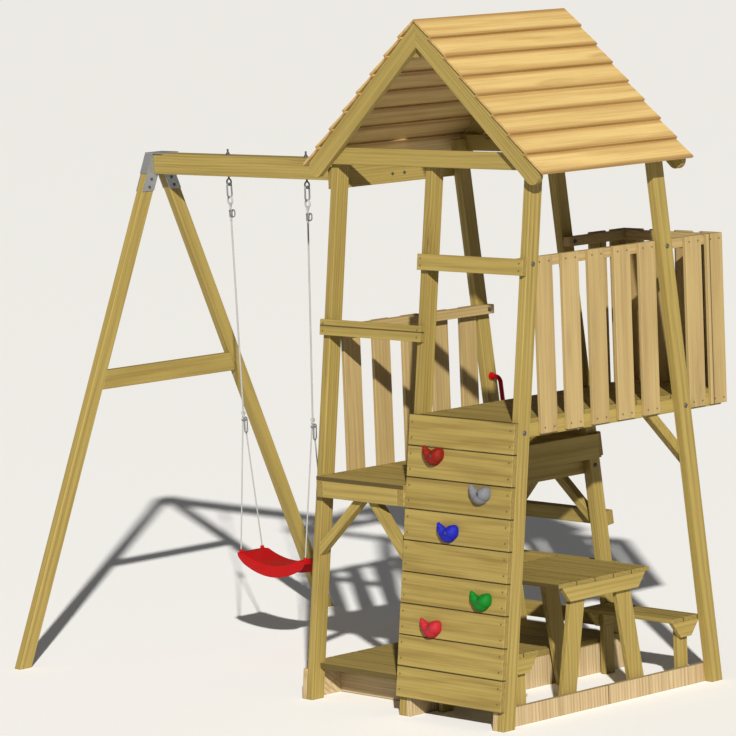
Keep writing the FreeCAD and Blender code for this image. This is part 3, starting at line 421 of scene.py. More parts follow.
# %% Posts, beams and rails
for number, side in enumerate(("left", "middle", "right")):
    dress("post_front_" + side, pine("post front " + side, *GREEN_PINE, FRONT_UP,
                                     FRONT_UP.cross(AXIS_X), seed=number + 1.0,
                                     contrast=0.62))
    dress("post_back_" + side, pine("post back " + side, *GREEN_PINE, BACK_UP,
                                    BACK_UP.cross(AXIS_X), seed=number + 5.0))
plank_pitch = (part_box("wall_plank_2")[0].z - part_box("wall_plank_1")[0].z) / math.cos(LEAN)
wall_corner = Vector((0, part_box("post_front_left")[0].y, 0))
wall_start = (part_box("wall_plank_1")[0].z / math.cos(LEAN) - 0.001
              + wall_corner.dot(FRONT_UP))
wall_finish = pine("wall planks", *GREEN_PINE, AXIS_X, FRONT_UP, (wall_start, plank_pitch),
                   seed=11.0, contrast=0.62)
for number in range(9):
    dress("wall_plank_%d" % (number + 1), wall_finish)
RAIL_ROW = (1.70, 0.23)
RUNG_ROW = (0.05, 0.262)
dress("front_rails", pine("front rails", *GREEN_PINE, AXIS_X, FRONT_UP, RAIL_ROW, seed=14.0))
dress("gable_beams", pine("gable beams", *GREEN_PINE, AXIS_X, FRONT_UP, seed=15.0))
dress("ladder_rungs", pine("ladder rungs", *GREEN_PINE, AXIS_X, BACK_UP, RUNG_ROW, seed=16.0))
dress("swing_beam", pine("swing beam", *GREEN_PINE, AXIS_X, AXIS_Z, seed=17.0))
dress("side_top_beam", pine("side top beam", *GREEN_PINE, AXIS_Y, AXIS_Z, seed=18.0))
dress("swing_crossbar", pine("swing crossbar", *GREEN_PINE, AXIS_Y, AXIS_Z, seed=19.0))
for node in ("left_handrail", "right_handrail"):
    dress(node, pine(node, *TAN_PINE, AXIS_Y, AXIS_Z, seed=len(node) + 7.0))
print("posts, beams and rails dressed")

# %% Decks, lid, tables and slats
DECK_ROWS = ("low_deck_boards", "high_deck_boards", "sandpit_lid", "table_top")
for number, node in enumerate(DECK_ROWS):
    dress(node, pine(node, *GREEN_PINE, AXIS_X, AXIS_Y, row_of(node, 1), seed=21.0 + number))
dress("bench_tops", pine("bench_tops", *GREEN_PINE, AXIS_X, AXIS_Y, row_of("bench_tops", 1, 2),
                         seed=26.0))
dress("left_slats", pine("left slats", *TAN_PINE, AXIS_Z, AXIS_Y, row_of("left_slats", 1),
                         seed=31.0, knots=0.6))
dress("right_slats", pine("right slats", *TAN_PINE, AXIS_Z, AXIS_Y, row_of("right_slats", 1, 5),
                          seed=33.0, knots=0.6))
back_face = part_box("balcony_slats")[1].y - 0.022
back_slats = [low.x for low, high in boards("balcony_slats") if low.y > back_face - 0.01]
slat_pitch = (max(back_slats) - min(back_slats)) / (len(back_slats) - 1)
dress("balcony_slats", pine("balcony slats", *TAN_PINE, AXIS_Z, AXIS_Y, (0.0, 0.17), seed=35.0,
                            other=(AXIS_Z, AXIS_X, AXIS_Y, -EVERYWHERE, back_face), knots=0.6))
print("balcony slat pitch", round(slat_pitch, 4))


# %% Frames with timbers both ways
TIMBER_THICK = 0.045
BOARD_THICK = 0.028
LEG_SPREAD = 22.2


def side_frame(node, seed, tones=GREEN_PINE):
    """Outer timbers along Y and the ones between them along X."""
    low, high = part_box(node)
    dress(node, pine(node.replace("_", " "), *tones, AXIS_X, AXIS_Z, seed=seed,
                     other=(AXIS_Y, AXIS_Z, AXIS_X, low.x + TIMBER_THICK,
                            high.x - TIMBER_THICK)))


side_frame("low_deck_frame", 41.0)
side_frame("high_deck_frame", 42.0)
side_frame("balcony_handrails", 43.0, TAN_PINE)
KICK_LEAN_DEEP = 0.06
low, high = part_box("kick_boards")
dress("kick_boards", pine("kick boards", *GREEN_PINE, AXIS_X, BACK_UP, seed=44.0,
                          other=(AXIS_Y, AXIS_Z, AXIS_Y, high.y - KICK_LEAN_DEEP, EVERYWHERE)))
low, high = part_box("base_boards")
dress("base_boards", pine("base boards", *PALE_PINE, AXIS_X, AXIS_Z, seed=45.0, contrast=0.8,
                          other=(AXIS_Z, AXIS_Y, AXIS_X, low.x + BOARD_THICK,
                                 tower_left + LEFT_BAY)))
strut = Vector((1, 0, 1)).normalized()
low_middle = tower_left + LEFT_BAY / 2
dress("knee_braces", pine("knee braces", *GREEN_PINE, strut, strut.cross(AXIS_Y), seed=46.0,
                          other=(Vector((-1, 0, 1)).normalized(), Vector((1, 0, 1)).normalized(),
                                 AXIS_X, -EVERYWHERE, low_middle)))
for node, cleat, seed in (("table_trestles", 0.070, 47.0), ("bench_trestles", 0.075, 48.0)):
    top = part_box(node)[1].z
    dress(node, pine(node.replace("_", " "), *GREEN_PINE, AXIS_Z, AXIS_Y, seed=seed,
                     other=(AXIS_Y, AXIS_Z, AXIS_Z, -EVERYWHERE, top - cleat)))
leg = math.radians(LEG_SPREAD)
dress("swing_legs", pine("swing legs", *GREEN_PINE, Vector((0, math.sin(leg), math.cos(leg))),
                         Vector((0, math.cos(leg), -math.sin(leg))), seed=49.0,
                         other=(Vector((0, -math.sin(leg), math.cos(leg))),
                                Vector((0, math.cos(leg), math.sin(leg))), AXIS_Y,
                                -EVERYWHERE, 0.0)))
print("frames dressed")

# %% Roof
PITCH = math.radians(41.5)
PEAK_HIGH = 3.220
HALF_SPAN = 0.788
ROOF_ROWS = 8
ridge_x = (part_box("roof_boards_left")[0].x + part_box("roof_boards_right")[1].x) / 2
peak = Vector((ridge_x, 0, PEAK_HIGH))
cover = HALF_SPAN / math.cos(PITCH) / ROOF_ROWS
slopes = {}
for side, way in (("left", -1), ("right", 1)):
    down = Vector((way * math.cos(PITCH), 0, -math.sin(PITCH)))
    slopes[side] = down
    dress("roof_boards_" + side, pine("roof boards " + side, *ROOF_PINE, AXIS_Y, down,
                                      (peak.dot(down), cover), seed=51.0 + way, band=0.8,
                                      seam=0.0))
dress("bargeboards", pine("bargeboards", *GREEN_PINE, slopes["right"],
                          slopes["right"].cross(AXIS_Y), seed=55.0,
                          other=(slopes["left"], slopes["left"].cross(AXIS_Y), AXIS_X, ridge_x,
                                 EVERYWHERE)))
print("roof dressed, ridge at x", round(ridge_x, 4))

# %% [markdown]
# ## Steel, plastic and rope finishes
# Zinc plating is mottled in large crystals and a little duller where it has weathered. Moulded
# plastic has a fine even texture and slightly paler handled spots. Cast resin holds are gritty.

# %% Steel
def zinc(name, colour=(0.40, 0.41, 0.42), metallic=0.75):
    finish = Finish(name, Metallic=metallic, Specular_IOR_Level=0.3)
    crystal = finish.node("ShaderNodeTexVoronoi", {"feature": "F1"},
                          {"Vector": finish.point, "Scale": 160.0})
    patch = finish.split(crystal.outputs["Color"])[0]
    dull = finish.noise(finish.point, 22.0, 4.0)
    tone = finish.mix(patch * 0.35 + dull * 0.35, colour, tuple(c * 0.62 for c in colour))
    grain = finish.noise(finish.point, 900.0, 2.0)
    return finish.wear(tone, 0.42 + patch * 0.10 + dull * 0.18, grain, depth=0.0002, strength=0.2)


ZINC = zinc("zinc plated steel")
DARK_STEEL = zinc("dull steel", (0.10, 0.10, 0.105), 0.5)
LINK_STEEL = zinc("worn link steel", (0.22, 0.22, 0.23), 0.6)
BRASSED = zinc("yellow zinc screws", (0.20, 0.145, 0.055), 0.4)
dress("apex_bracket", ZINC)
for node in ("beam_hooks", "hold_bolts"):
    dress(node, DARK_STEEL)
print("steel", ZINC.name, DARK_STEEL.name, BRASSED.name)


# %% Moulded plastic and cast resin
def moulded(name, colour, worn, grit=0.0, roughness=0.42):
    """Plastic with a fine moulded texture; grit gives a sandy cast surface."""
    finish = Finish(name, Specular_IOR_Level=0.12)
    fine = finish.noise(finish.point, 1400.0, 2.0)
    sand = finish.noise(finish.point, 420.0, 3.0, 0.7)
    broad = finish.noise(finish.point, 28.0, 3.0)
    scuff = finish.noise(finish.vector("MULTIPLY", finish.point, (60.0, 400.0, 260.0)), 1.0, 3.0)
    handled = (broad * 0.6 + scuff * 0.4).ramp(0.50, 0.72)
    tone = finish.mix(handled * 0.35, colour, worn)
    tone = finish.mix(sand.ramp(0.35, 0.75) * grit * 0.4, tone, tuple(c * 0.45 for c in colour))
    height = fine * (0.3 + 0.2 * (1 - grit)) + sand * grit
    return finish.wear(tone, roughness + handled * 0.12 + sand * grit * 0.25, height,
                       depth=0.0004 + 0.0006 * grit, strength=0.25 + 0.35 * grit)


RED = moulded("red plastic", (0.36, 0.003, 0.004), (0.42, 0.012, 0.010))
dress("grab_handles", RED)
HOLD_COLOURS = {"hold_brick": (0.18, 0.009, 0.003), "hold_grey": (0.15, 0.155, 0.17),
                "hold_blue": (0.010, 0.014, 0.30), "hold_green": (0.003, 0.15, 0.012),
                "hold_pink": (0.36, 0.016, 0.024)}
hold_finish = {name: moulded(name.replace("_", " "), colour,
                             tuple(0.03 + 0.9 * c for c in colour), grit=1.0, roughness=0.42)
               for name, colour in HOLD_COLOURS.items()}
print("holds", sorted(hold_finish))


# %% Rope finish
def rope_finish():
    """Off-white laid rope: fine fibres that follow the strands, with patchy dirt."""
    finish = Finish("laid rope", Specular_IOR_Level=0.2)
    fibre = finish.noise(finish.vector("MULTIPLY", finish.point, (1500.0, 1500.0, 300.0)), 1.0)
    dirt = finish.noise(finish.point, 9.0, 4.0)
    tone = finish.mix(fibre.ramp(0.35, 0.7) * 0.5 + dirt * 0.3, (0.40, 0.40, 0.39),
                      (0.22, 0.22, 0.21))
    return finish.wear(tone, 0.80 + fibre * 0.12, fibre, depth=0.0004, strength=0.5)


ROPE = rope_finish()
print("rope", ROPE.name)

# %% [markdown]
# ## Helpers for modelled pieces
# Every new piece starts from a primitive, is shaped in edit mode and by modifiers, and ends with
# its place in its mesh, its object at the origin, a body to ride on and a finish.

# %% Piece helpers
def only(*objects):
    """Leaves just these objects selected, the first one active."""
    bpy.ops.object.select_all(action="DESELECT")
    for item in objects:
        item.select_set(True)
    bpy.context.view_layer.objects.active = objects[0]


def add(primitive, **settings):
    """Adds a primitive with nothing else selected and returns it."""
    bpy.ops.object.select_all(action="DESELECT")
    getattr(bpy.ops.mesh, "primitive_" + primitive + "_add")(**settings)
    return bpy.context.object


def modify(piece, kind, **settings):
    """Adds one modifier and applies it."""
    only(piece)
    modifier = piece.modifiers.new(kind.title(), kind)
    for name, value in settings.items():
        setattr(modifier, name, value)
    bpy.ops.object.modifier_apply(modifier=modifier.name)


def joined(name, pieces):
    """Makes one piece of several."""
    only(*pieces)
    if len(pieces) > 1:
        bpy.ops.object.join()
    pieces[0].name = name
    return pieces[0]


def settle(piece, body, material, smooth=35.0):
    """Moves the piece's place into its mesh, rides it on a body and dresses it."""
    only(piece)
    bpy.ops.object.transform_apply(location=True, rotation=True, scale=True)
    bpy.ops.object.shade_smooth_by_angle(angle=math.radians(smooth))
    dress(piece, material)
    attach(piece, body)
    print(piece.name, len(piece.data.polygons), "faces")
    return piece


def stand_in(pattern, matrix):
    """A copy of a modelled pattern, with its own mesh, put in place."""
    copy = pattern.copy()
    copy.data = pattern.data.copy()
    bpy.context.scene.collection.objects.link(copy)
    copy.matrix_world = matrix
    return copy


def aimed(point, direction, turned=0.0):
    """A placing that stands a pattern's +Z along a direction at a point."""
    aim = Vector(direction).to_track_quat("Z", "Y").to_matrix().to_4x4()
    return Matrix.Translation(point) @ aim @ Matrix.Rotation(turned, 4, "Z")


print("piece helpers ready")

# %% [markdown]
# ## Ropes
# Each side of the swing hangs on a laid rope that ends in an adjuster, and two thinner legs run
# from the adjuster to the front and back of the seat. A laid rope is three strands twisted
# together, so three circles are swept along a screw; the rope's own line stays the straight
# stretch that the weight of the seat pulls it into.

# %% Ropes
ROPE_RADIUS = 0.005
LEG_RADIUS = 0.004


def rope_ends(low, high, side, radius):
    """The middle of a leaning rope's top and bottom, from its box; side is where its foot is."""
    slide = Vector((radius, 0, 0))
    middle_y = (low.y + high.y) / 2
    top = Vector((high.x if side < 0 else low.x, middle_y, high.z)) + side * slide
    foot = Vector((low.x if side < 0 else high.x, middle_y, low.z)) - side * slide
    return top, foot


def line_through(name, top, foot):
    """The rope's line: an order 3 NURBS spline along one straight pull."""
    curve = bpy.data.curves.new(name, "CURVE")
    curve.dimensions = "3D"
    spline = curve.splines.new("NURBS")
    spline.points.add(3)
    for point, share in zip(spline.points, (0.0, 0.3, 0.7, 1.0)):
        point.co = (*top.lerp(foot, share), 1)
    spline.order_u = 3
    spline.use_endpoint_u = True
    line = bpy.data.objects.new(name + " line", curve)
    bpy.context.scene.collection.objects.link(line)
    mesh = bpy.data.meshes.new_from_object(line)
    path = [vertex.co.copy() for vertex in mesh.vertices]
    bpy.data.objects.remove(line)
    bpy.data.meshes.remove(mesh)
    return path


def laid_rope(name, node, top, foot, radius, lay_length):
    """Three strands swept round a straight line, as long as the pull from top to foot."""
    path = line_through(name, top, foot)
    length = sum((b - a).length for a, b in zip(path, path[1:]))
    strand = radius * 0.58
    pieces = []
    for number in range(3):
        angle = math.tau * number / 3
        centre = (math.cos(angle) * radius * 0.42, math.sin(angle) * radius * 0.42, 0)
        pieces.append(add("circle", radius=strand, vertices=10, location=centre,
                          fill_type="NGON"))
    rope = joined(name, pieces)
    only(rope)
    bpy.ops.object.transform_apply()
    turns = length / lay_length
    modify(rope, "SCREW", axis="Z", angle=math.tau * turns, screw_offset=length,
           steps=int(turns * 10), render_steps=int(turns * 10), use_merge_vertices=False)
    rope.matrix_world = aimed(top, foot - top)
    settle(rope, "swing", ROPE, smooth=60.0)
    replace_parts(rope, node)
    2 * radius
    print(name, "length", round(length, 3))
    return rope


for name, side in (("left", 1), ("right", -1)):
    low, high = boards("rope_" + name)[0]
    laid_rope("rope_" + name + "_laid", "rope_" + name, *rope_ends(low, high, side, ROPE_RADIUS),
              ROPE_RADIUS, 0.034)
    legs = sorted(boards("bridle_" + name), key=lambda pair: pair[0].y)
    for (low, high), way, end in zip(legs, (-1, 1), ("front", "back")):
        top = Vector((high.x - LEG_RADIUS if side < 0 else low.x + LEG_RADIUS,
                      (high.y - LEG_RADIUS) if way < 0 else (low.y + LEG_RADIUS), high.z))
        foot = Vector((low.x + LEG_RADIUS if side < 0 else high.x - LEG_RADIUS,
                       (low.y + LEG_RADIUS) if way < 0 else (high.y - LEG_RADIUS), low.z))
        laid_rope("bridle_%s_%s" % (name, end), "bridle_" + name, top, foot, LEG_RADIUS, 0.028)

# %% [markdown]
# ## Climbing holds
# A moulded hold is a heart-like lump: a large and a small lobe with a valley between them that
# fingers hook into, tapering to a low tip, flat at the back, with a sunk seat for its bolt. Balls
# melted together by a remesh give those soft shapes; one hold is made and copied five times.

# %% Climbing holds
def hold_pattern():
    """The hold lies on its back: +X right, +Y up the wall and +Z out of the wall."""
    lumps = []
    for x, y, z, wide, high, deep, turned in (
            (0.022, 0.002, 0.010, 0.036, 0.034, 0.038, 25),
            (0.034, 0.016, 0.010, 0.023, 0.023, 0.030, 0),
            (0.000, -0.016, 0.008, 0.042, 0.032, 0.036, 10),
            (-0.022, -0.006, 0.014, 0.031, 0.027, 0.028, -40),
            (-0.034, 0.008, 0.020, 0.023, 0.021, 0.024, -50),
            (-0.042, 0.022, 0.026, 0.015, 0.017, 0.016, 0),
            (-0.047, 0.034, 0.030, 0.010, 0.011, 0.009, 0)):
        lump = add("uv_sphere", segments=32, ring_count=16, radius=1.0, location=(x, y, z))
        lump.scale = (wide, high, deep)
        lump.rotation_euler = (0, 0, math.radians(turned))
        lumps.append(lump)
    hold = joined("hold pattern", lumps)
    only(hold)
    bpy.ops.object.transform_apply()
    modify(hold, "REMESH", mode="VOXEL", voxel_size=0.0020)
    modify(hold, "SMOOTH", factor=0.5, iterations=8)
    bpy.ops.object.mode_set(mode="EDIT")
    bpy.ops.mesh.select_all(action="SELECT")
    bpy.ops.mesh.bisect(plane_co=(0, 0, 0), plane_no=(0, 0, 1), clear_inner=True, use_fill=True)
    bpy.ops.object.mode_set(mode="OBJECT")
    seat = add("cylinder", radius=0.0095, depth=0.04, vertices=32,
               location=(0.012, 0.0, 0.056))
    modify(hold, "BOOLEAN", operation="DIFFERENCE", object=seat, solver="EXACT")
    bpy.data.objects.remove(seat)
    modify(hold, "DECIMATE", ratio=0.5)
    return hold


WALL_AXES = (AXIS_X, FRONT_UP, FRONT_OUT)
hold = hold_pattern()
for name in sorted(HOLD_COLOURS):
    across, up, out = zip(*boards(name, WALL_AXES)[0])
    base = WALL_AXES[0] * (across[0] + 0.059) + FRONT_UP * (up[0] + 0.051) + FRONT_OUT * out[0]
    frame_axes = Matrix(WALL_AXES).transposed().to_4x4()
    piece = stand_in(hold, Matrix.Translation(base) @ frame_axes)
    piece.name = name + "_cast"
    settle(piece, "tower", hold_finish[name], smooth=50.0)
    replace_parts(piece, name)
bpy.data.objects.remove(hold)

# %% [markdown]
# ## Swing seat
# The seat is one moulded piece: raised flat ends, a dished middle with low grip ribs, and a skirt
# that hangs from its rim and is deepest in the middle. A flat grid is bent by lowering its columns
# of points, its rim is extruded down for the skirt, and Solidify gives the moulding its wall.

# %% Swing seat
SEAT_LONG = 0.500
SEAT_DEEP = 0.180
SEAT_SAG = 0.045
SEAT_FLAT = 0.040
RIB_HIGH = 0.0022
RIB_REACH = 0.20
COLUMNS = 50
ROWS = 18


def dish(x):
    """How far the seat's top lies under its rim at a place along it."""
    inner = SEAT_LONG / 2 - SEAT_FLAT
    if abs(x) >= inner:
        return 0.0
    radius = (inner * inner + SEAT_SAG * SEAT_SAG) / (2 * SEAT_SAG)
    return math.sqrt(radius * radius - x * x) - (radius - SEAT_SAG)


def pick(piece, test):
    """Selects, in edit mode, just the points that pass a test."""
    bpy.ops.object.mode_set(mode="OBJECT")
    for polygon in piece.data.polygons:
        polygon.select = False
    for edge in piece.data.edges:
        edge.select = False
    for vertex in piece.data.vertices:
        vertex.select = test(vertex.co)
    bpy.ops.object.mode_set(mode="EDIT")


def lower(piece, test, drop):
    """Lowers the points that pass a test."""
    pick(piece, test)
    bpy.ops.transform.translate(value=(0, 0, -drop))


rim_low, rim_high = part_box("swing_seat")
seat_middle = (rim_low + rim_high) / 2
seat = add("grid", x_subdivisions=COLUMNS, y_subdivisions=ROWS, size=1.0)
seat.scale = (SEAT_LONG, SEAT_DEEP, 1)
only(seat)
bpy.ops.object.transform_apply(scale=True)
bpy.ops.object.mode_set(mode="EDIT")
bpy.context.tool_settings.mesh_select_mode = (True, False, False)
for column in range(COLUMNS + 1):
    x = SEAT_LONG * (column / COLUMNS - 0.5)
    if dish(x):
        lower(seat, lambda co, x=x: abs(co.x - x) < 0.001, dish(x))
for row in range(3, ROWS - 2, 3):
    y = SEAT_DEEP * (row / ROWS - 0.5)
    lower(seat, lambda co, y=y: abs(co.y - y) < 0.001 and abs(co.x) < RIB_REACH, -RIB_HIGH)
print("seat dished", len(seat.data.vertices), "points")

# %% Seat skirt and bosses
END_SKIRT = 0.034
EXTRA_SKIRT = 0.072
SKIRT_STEPS = ((0.004, 1.0), (0.010, 0.997), (0.004, 0.998))
SEAT_WALL = 0.005
BOSS_PLACES = [(x, y) for x in (-0.240, 0.240) for y in (-0.072, 0.072)]
BOSS_RISE = 0.014


def rim_bottom(x):
    """How far the skirt's lower edge lies under the rim at a place along the seat."""
    reach = 1 - abs(x) / (SEAT_LONG / 2)
    corner = 0.014 * (1 - min(1.0, reach * 5)) ** 2
    return END_SKIRT + EXTRA_SKIRT * (1 - (1 - reach) ** 2) - corner


bpy.context.tool_settings.mesh_select_mode = (False, True, False)
bpy.ops.mesh.select_all(action="SELECT")
bpy.ops.mesh.region_to_loop()
for drop, inset in SKIRT_STEPS:
    bpy.ops.mesh.extrude_edges_move(TRANSFORM_OT_translate={"value": (0, 0, -drop)})
    bpy.ops.transform.resize(value=(inset, inset ** 3, 1))
bpy.context.tool_settings.mesh_select_mode = (True, False, False)
for column in range(COLUMNS + 1):
    x = SEAT_LONG * (column / COLUMNS - 0.5)
    extra = rim_bottom(x) - dish(x) - 0.018
    lower(seat, lambda co, x=x: abs(co.x - x) < 0.0045 and co.z < -0.010 - dish(x), extra)
bpy.ops.object.mode_set(mode="OBJECT")
modify(seat, "SOLIDIFY", thickness=SEAT_WALL, offset=-1.0, use_even_offset=True)
modify(seat, "BEVEL", width=0.0016, segments=2, limit_method="ANGLE", angle_limit=math.radians(50))
bosses = []
for x, y in BOSS_PLACES:
    boss = add("cylinder", radius=0.010, depth=0.018, vertices=28, location=(x, y, 0.005))
    modify(boss, "BEVEL", width=0.003, segments=3, limit_method="ANGLE")
    bosses.append(boss)
seat = joined("swing_seat_moulding", [seat] + bosses)
seat.location = (seat_middle.x, seat_middle.y, rim_high.z - BOSS_RISE)
settle(seat, "swing", RED, smooth=40.0)
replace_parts(seat, "swing_seat")

# %% [markdown]
# ## Links, eyes and knots
# From each hook in the beam hang an oblong link, a rope eye round a thimble and a clamp with an
# open wire frame. At its lower end the rope is twisted into a short double strand, a second, longer
# wire frame hangs beside it, and the two legs leave from under it. Tori are stretched into links
# by moving their lower halves, and the twisted strands are swept along a screw.

# %% Link patterns
def stretched_ring(name, half_wide, wire, long):
    """An oblong link in the YZ plane, its top at height 0."""
    link = add("torus", major_radius=half_wide, minor_radius=wire, major_segments=32,
               minor_segments=10, rotation=(0, math.radians(90), 0),
               location=(0, 0, -half_wide - wire))
    only(link)
    bpy.ops.object.transform_apply(location=True, rotation=True)
    middle = -half_wide - wire
    bpy.ops.object.mode_set(mode="EDIT")
    pick(link, lambda co: co.z < middle + 0.0001)
    bpy.ops.transform.translate(value=(0, 0, -(long - 2 * half_wide - 2 * wire)))
    bpy.ops.object.mode_set(mode="OBJECT")
    link.name = name
    return link


def twisted_strands(top, long, radius, offset, turns):
    """Two rope strands wound round each other, hanging down from a height."""
    strands = [add("circle", radius=radius, vertices=10, fill_type="NGON",
                   location=(way * offset, 0, 0)) for way in (-1, 1)]
    twist = joined("twist", strands)
    only(twist)
    bpy.ops.object.transform_apply()
    modify(twist, "SCREW", axis="Z", angle=math.tau * turns, screw_offset=-long, steps=24,
           render_steps=24, use_merge_vertices=False)
    twist.location = (0, 0, top)
    return twist


def rounded_block(size, place):
    """A small clamp body with softened edges."""
    block = add("cube", size=1.0, location=place)
    block.scale = size
    only(block)
    bpy.ops.object.transform_apply(location=False, rotation=False, scale=True)
    modify(block, "BEVEL", width=0.0015, segments=3)
    return block


print("link patterns ready")

# %% Links and knots of both ropes
hooks = boards("beam_hooks")
HANG_LONG = 1.862
HANG_LEAN = 0.050
LINK_TOP = 0.0136
ROPE_EYE_TOP = -0.0545
THIMBLE_TOP = -0.0585
STEM_TOP = -0.094
UPPER_FRAME_TOP = -0.122
CLIP_MIDDLE = -0.130
COLLAR_MIDDLE = -0.145
ROPE_FOOT = -1.155
LOWER_FRAME_TOP = ROPE_FOOT - 0.022
LOW_CLIP_MIDDLE = ROPE_FOOT - 0.040
rope_tilt = math.atan2(HANG_LEAN, HANG_LONG)
for name, side, (low, high) in zip(("left", "right"), (-1, 1), hooks):
    hang = Matrix.Translation(((low.x + high.x) / 2, turn.y, turn.z)) \
        @ Matrix.Rotation(side * rope_tilt, 4, "Y")
    link = stretched_ring("link", 0.0145, 0.0044, 0.079)
    link.location = (0, 0, LINK_TOP)
    eye = stretched_ring("thimble", 0.0125, 0.0022, 0.036)
    eye.rotation_euler = (0, 0, math.radians(90))
    eye.location = (0, 0, THIMBLE_TOP)
    frame_top = stretched_ring("upper frame", 0.0120, 0.0030, 0.042)
    frame_top.location = (0.010, 0.006, UPPER_FRAME_TOP)
    frame_low = stretched_ring("lower frame", 0.0105, 0.0030, 0.084)
    frame_low.location = (0.0115, 0.002, LOWER_FRAME_TOP)
    collar = add("cylinder", radius=0.0085, depth=0.030, vertices=24,
                 location=(0, 0, COLLAR_MIDDLE))
    modify(collar, "BEVEL", width=0.002, segments=3, limit_method="ANGLE")
    clip = rounded_block((0.016, 0.018, 0.009), (0.002, 0, CLIP_MIDDLE))
    low_clip = rounded_block((0.018, 0.022, 0.008), (0.003, 0, LOW_CLIP_MIDDLE))
    fittings = joined("links_" + name, [link, eye, frame_top, frame_low, collar, clip, low_clip])
    only(fittings)
    bpy.ops.object.transform_apply()
    fittings.matrix_world = hang
    settle(fittings, "swing", LINK_STEEL, smooth=50.0)
    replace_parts(fittings, "swing_links")
    loop = stretched_ring("rope eye", 0.0165, 0.0048, 0.046)
    loop.rotation_euler = (0, 0, math.radians(90))
    loop.location = (0, 0, ROPE_EYE_TOP)
    stem = twisted_strands(STEM_TOP, 0.086, 0.0042, 0.0042, 1.5)
    knot = twisted_strands(ROPE_FOOT + 0.004, 0.046, 0.0050, 0.0060, 0.75)
    eyes = joined("rope_eyes_" + name, [loop, stem, knot])
    only(eyes)
    bpy.ops.object.transform_apply()
    eyes.matrix_world = hang
    settle(eyes, "swing", ROPE, smooth=60.0)
    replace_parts(eyes, "swing_links")

# %% [markdown]
# ## Coach bolts
# The decks and handrails are bolted through the posts. A coach bolt shows a low dome outside and a
# washer and hexagon nut inside; the bracket and the swing beam have hexagon heads. Each pattern is
# modelled once, pointing along +Z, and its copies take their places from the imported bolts.

# %% Bolt patterns
def dome_head():
    """A domed head whose flat underside is at height 0."""
    head = add("uv_sphere", segments=20, ring_count=10, radius=0.011)
    bpy.ops.object.mode_set(mode="EDIT")
    bpy.ops.mesh.select_all(action="SELECT")
    bpy.ops.mesh.bisect(plane_co=(0, 0, 0), plane_no=(0, 0, 1), clear_inner=True, use_fill=True)
    bpy.ops.mesh.select_all(action="SELECT")
    bpy.ops.transform.resize(value=(1, 1, 0.52))
    bpy.ops.object.mode_set(mode="OBJECT")
    return head


def hexagon(radius, high, washer, tip_high=0.0):
    """A hexagon nut or head on a round washer, standing on height 0; a nut shows a bolt's tip."""
    ring = add("cylinder", radius=washer, depth=0.0016, vertices=24, location=(0, 0, 0.0008))
    nut = add("cylinder", radius=radius, depth=high, vertices=6,
              location=(0, 0, 0.0016 + high / 2))
    modify(nut, "BEVEL", width=0.0009, segments=2)
    pieces = [ring, nut]
    if tip_high:
        tip = add("cylinder", radius=radius * 0.5, depth=tip_high, vertices=14,
                  location=(0, 0, 0.0016 + high + tip_high / 2))
        modify(tip, "BEVEL", width=0.0008, segments=1, limit_method="ANGLE")
        pieces.append(tip)
    return joined("hexagon", pieces)


BRACKET_BOLT_LONGEST = 0.08
SMALL_HEAD_HIGH = 0.005
LAG_HEAD_HIGH = 0.0063
DOME_HIGH = 0.006
NUT_HIGH = 0.012
MIDDLE_POST = (0.60, 0.72)
BETWEEN_DECKS = 1.1
dome = dome_head()
nut = hexagon(0.0095, 0.0072, 0.0105, tip_high=0.003)
small_nut = hexagon(0.0078, 0.0033, 0.0082)
bolt_pieces = []
for low, high in boards("frame_bolts"):
    place = (low + high) / 2
    long = high.x - low.x
    wide = high.y - low.y
    shank = add("cylinder", radius=0.0048 if wide > 0.017 else 0.0038, depth=long - 0.012,
                vertices=12, location=place, rotation=(0, math.radians(90), 0))
    bolt_pieces.append(shank)
    if long < BRACKET_BOLT_LONGEST:
        ends = ((high.x - SMALL_HEAD_HIGH, 1, small_nut), (low.x + SMALL_HEAD_HIGH, -1, small_nut))
    elif place.x < tower_left:
        ends = ((high.x - LAG_HEAD_HIGH, 1, small_nut),)
    else:
        way = 1 if place.x > low_middle else -1
        if MIDDLE_POST[0] < place.x - tower_left < MIDDLE_POST[1]:
            way = 1 if place.z < BETWEEN_DECKS else -1
        head_x = high.x - DOME_HIGH if way > 0 else low.x + DOME_HIGH
        nut_x = low.x + NUT_HIGH if way > 0 else high.x - NUT_HIGH
        ends = ((head_x, way, dome), (nut_x, -way, nut))
    for x, way, pattern in ends:
        bolt_pieces.append(stand_in(pattern, aimed((x, place.y, place.z), (way, 0, 0))))
bolts = joined("frame_bolts_zinc", bolt_pieces)
settle(bolts, "tower", DARK_STEEL, smooth=40.0)
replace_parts(bolts, "frame_bolts")
for pattern in (dome, nut, small_nut):
    bpy.data.objects.remove(pattern)

# %% [markdown]
# ## Wood screws
# Boards are fixed with countersunk cross-head screws, two at each end. One head is made from few
# faces, because it is copied hundreds of times, and each node's screws are joined into one piece.

# %% Screw pattern
def screw_head():
    """A countersunk head, flush at height 0, with a cross cut into it."""
    head = add("cone", radius1=0.0022, radius2=0.0043, depth=0.004, vertices=12,
               location=(0, 0, -0.0016))
    for turned in (0, 90):
        slot = add("cube", size=1.0, location=(0, 0, 0.0006),
                   rotation=(0, 0, math.radians(turned)))
        slot.scale = (0.0052, 0.0011, 0.0022)
        only(slot)
        bpy.ops.object.transform_apply(scale=True)
        modify(head, "BOOLEAN", operation="DIFFERENCE", object=slot, solver="EXACT")
        bpy.data.objects.remove(slot)
    return head


SCREW_SHARE = 0.22
SLAT_INSET = 0.026
DECK_INSET = 0.022
TOP_INSET = 0.014
screw = screw_head()
screw.name = "screw pattern"
print("screw faces", len(screw.data.polygons))


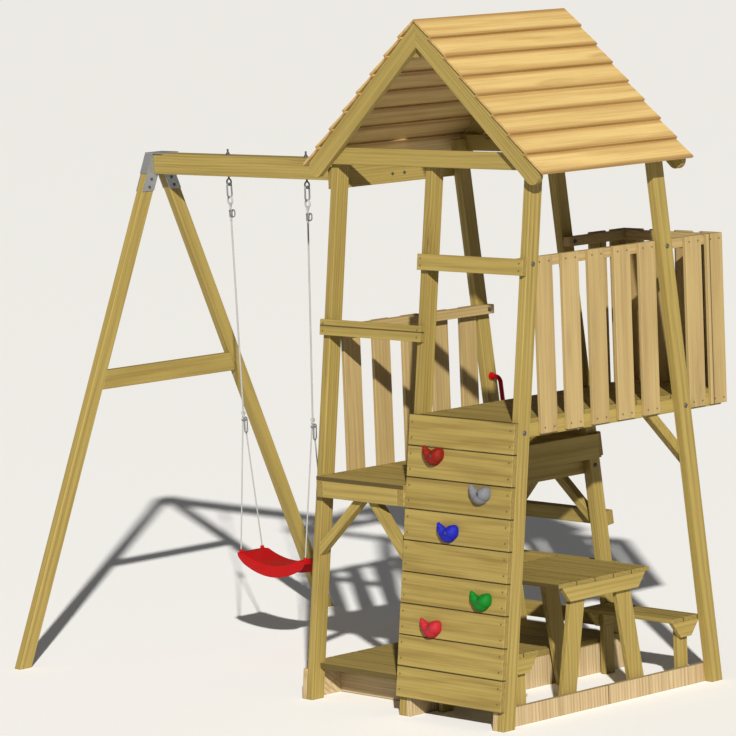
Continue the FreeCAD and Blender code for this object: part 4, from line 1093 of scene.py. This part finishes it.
def drive(name, spots):
    """Joins a copy of the screw at each (point, direction)."""
    copies = [stand_in(screw, aimed(point, direction, number * 0.7))
              for number, (point, direction) in enumerate(spots)]
    return settle(joined(name, copies), "tower", BRASSED, smooth=30.0)


def end_spots(node, long, across, out, side, inset, keep=None):
    """Two spots near each end of every board of a node, on its face at one side of out."""
    axes = (long, across, out)
    spots = []
    for low, high in boards(node, axes):
        if keep and not keep(low, high):
            continue
        for along in (low[0] + inset, high[0] - inset):
            for part in (SCREW_SHARE, 1 - SCREW_SHARE):
                place = (along, low[1] + (high[1] - low[1]) * part,
                         high[2] if side > 0 else low[2])
                point = sum((axis * value for axis, value in zip(axes, place)), Vector())
                spots.append((point, out * side))
    return spots


def across_is_wide(low, high):
    """True for a slat whose face, not its edge, lies along the middle axis."""
    return high[1] - low[1] > 0.05


# %% Screws of each board
wall_screws = []
for low, high in boards("screws", WALL_AXES):
    centre = (AXIS_X * (low.x + high.x) / 2 + FRONT_UP * (low.y + high.y) / 2
              + FRONT_OUT * (high.z - 0.0002))
    wall_screws.append((centre, FRONT_OUT))
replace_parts(drive("wall_and_rail_screws", wall_screws), "screws")
BACK_OUT = Vector((0, math.cos(LEAN), math.sin(LEAN)))
for name, node, inset in (("high_deck_screws", "high_deck_boards", DECK_INSET),
                          ("low_deck_screws", "low_deck_boards", DECK_INSET),
                          ("lid_screws", "sandpit_lid", TOP_INSET),
                          ("table_screws", "table_top", TOP_INSET),
                          ("bench_screws", "bench_tops", TOP_INSET)):
    drive(name, end_spots(node, AXIS_X, AXIS_Y, AXIS_Z, 1, inset))
drive("rung_screws", end_spots("ladder_rungs", AXIS_X, BACK_UP, BACK_OUT, 1, DECK_INSET))
drive("right_slat_screws", end_spots("right_slats", AXIS_Z, AXIS_Y, AXIS_X, 1, SLAT_INSET))
drive("left_slat_screws", end_spots("left_slats", AXIS_Z, AXIS_Y, AXIS_X, -1, SLAT_INSET))
drive("balcony_screws",
      end_spots("balcony_slats", AXIS_Z, AXIS_X, AXIS_Y, 1, SLAT_INSET, keep=across_is_wide)
      + end_spots("balcony_slats", AXIS_Z, AXIS_Y, AXIS_X, -1, SLAT_INSET, keep=across_is_wide))
bpy.data.objects.remove(screw)
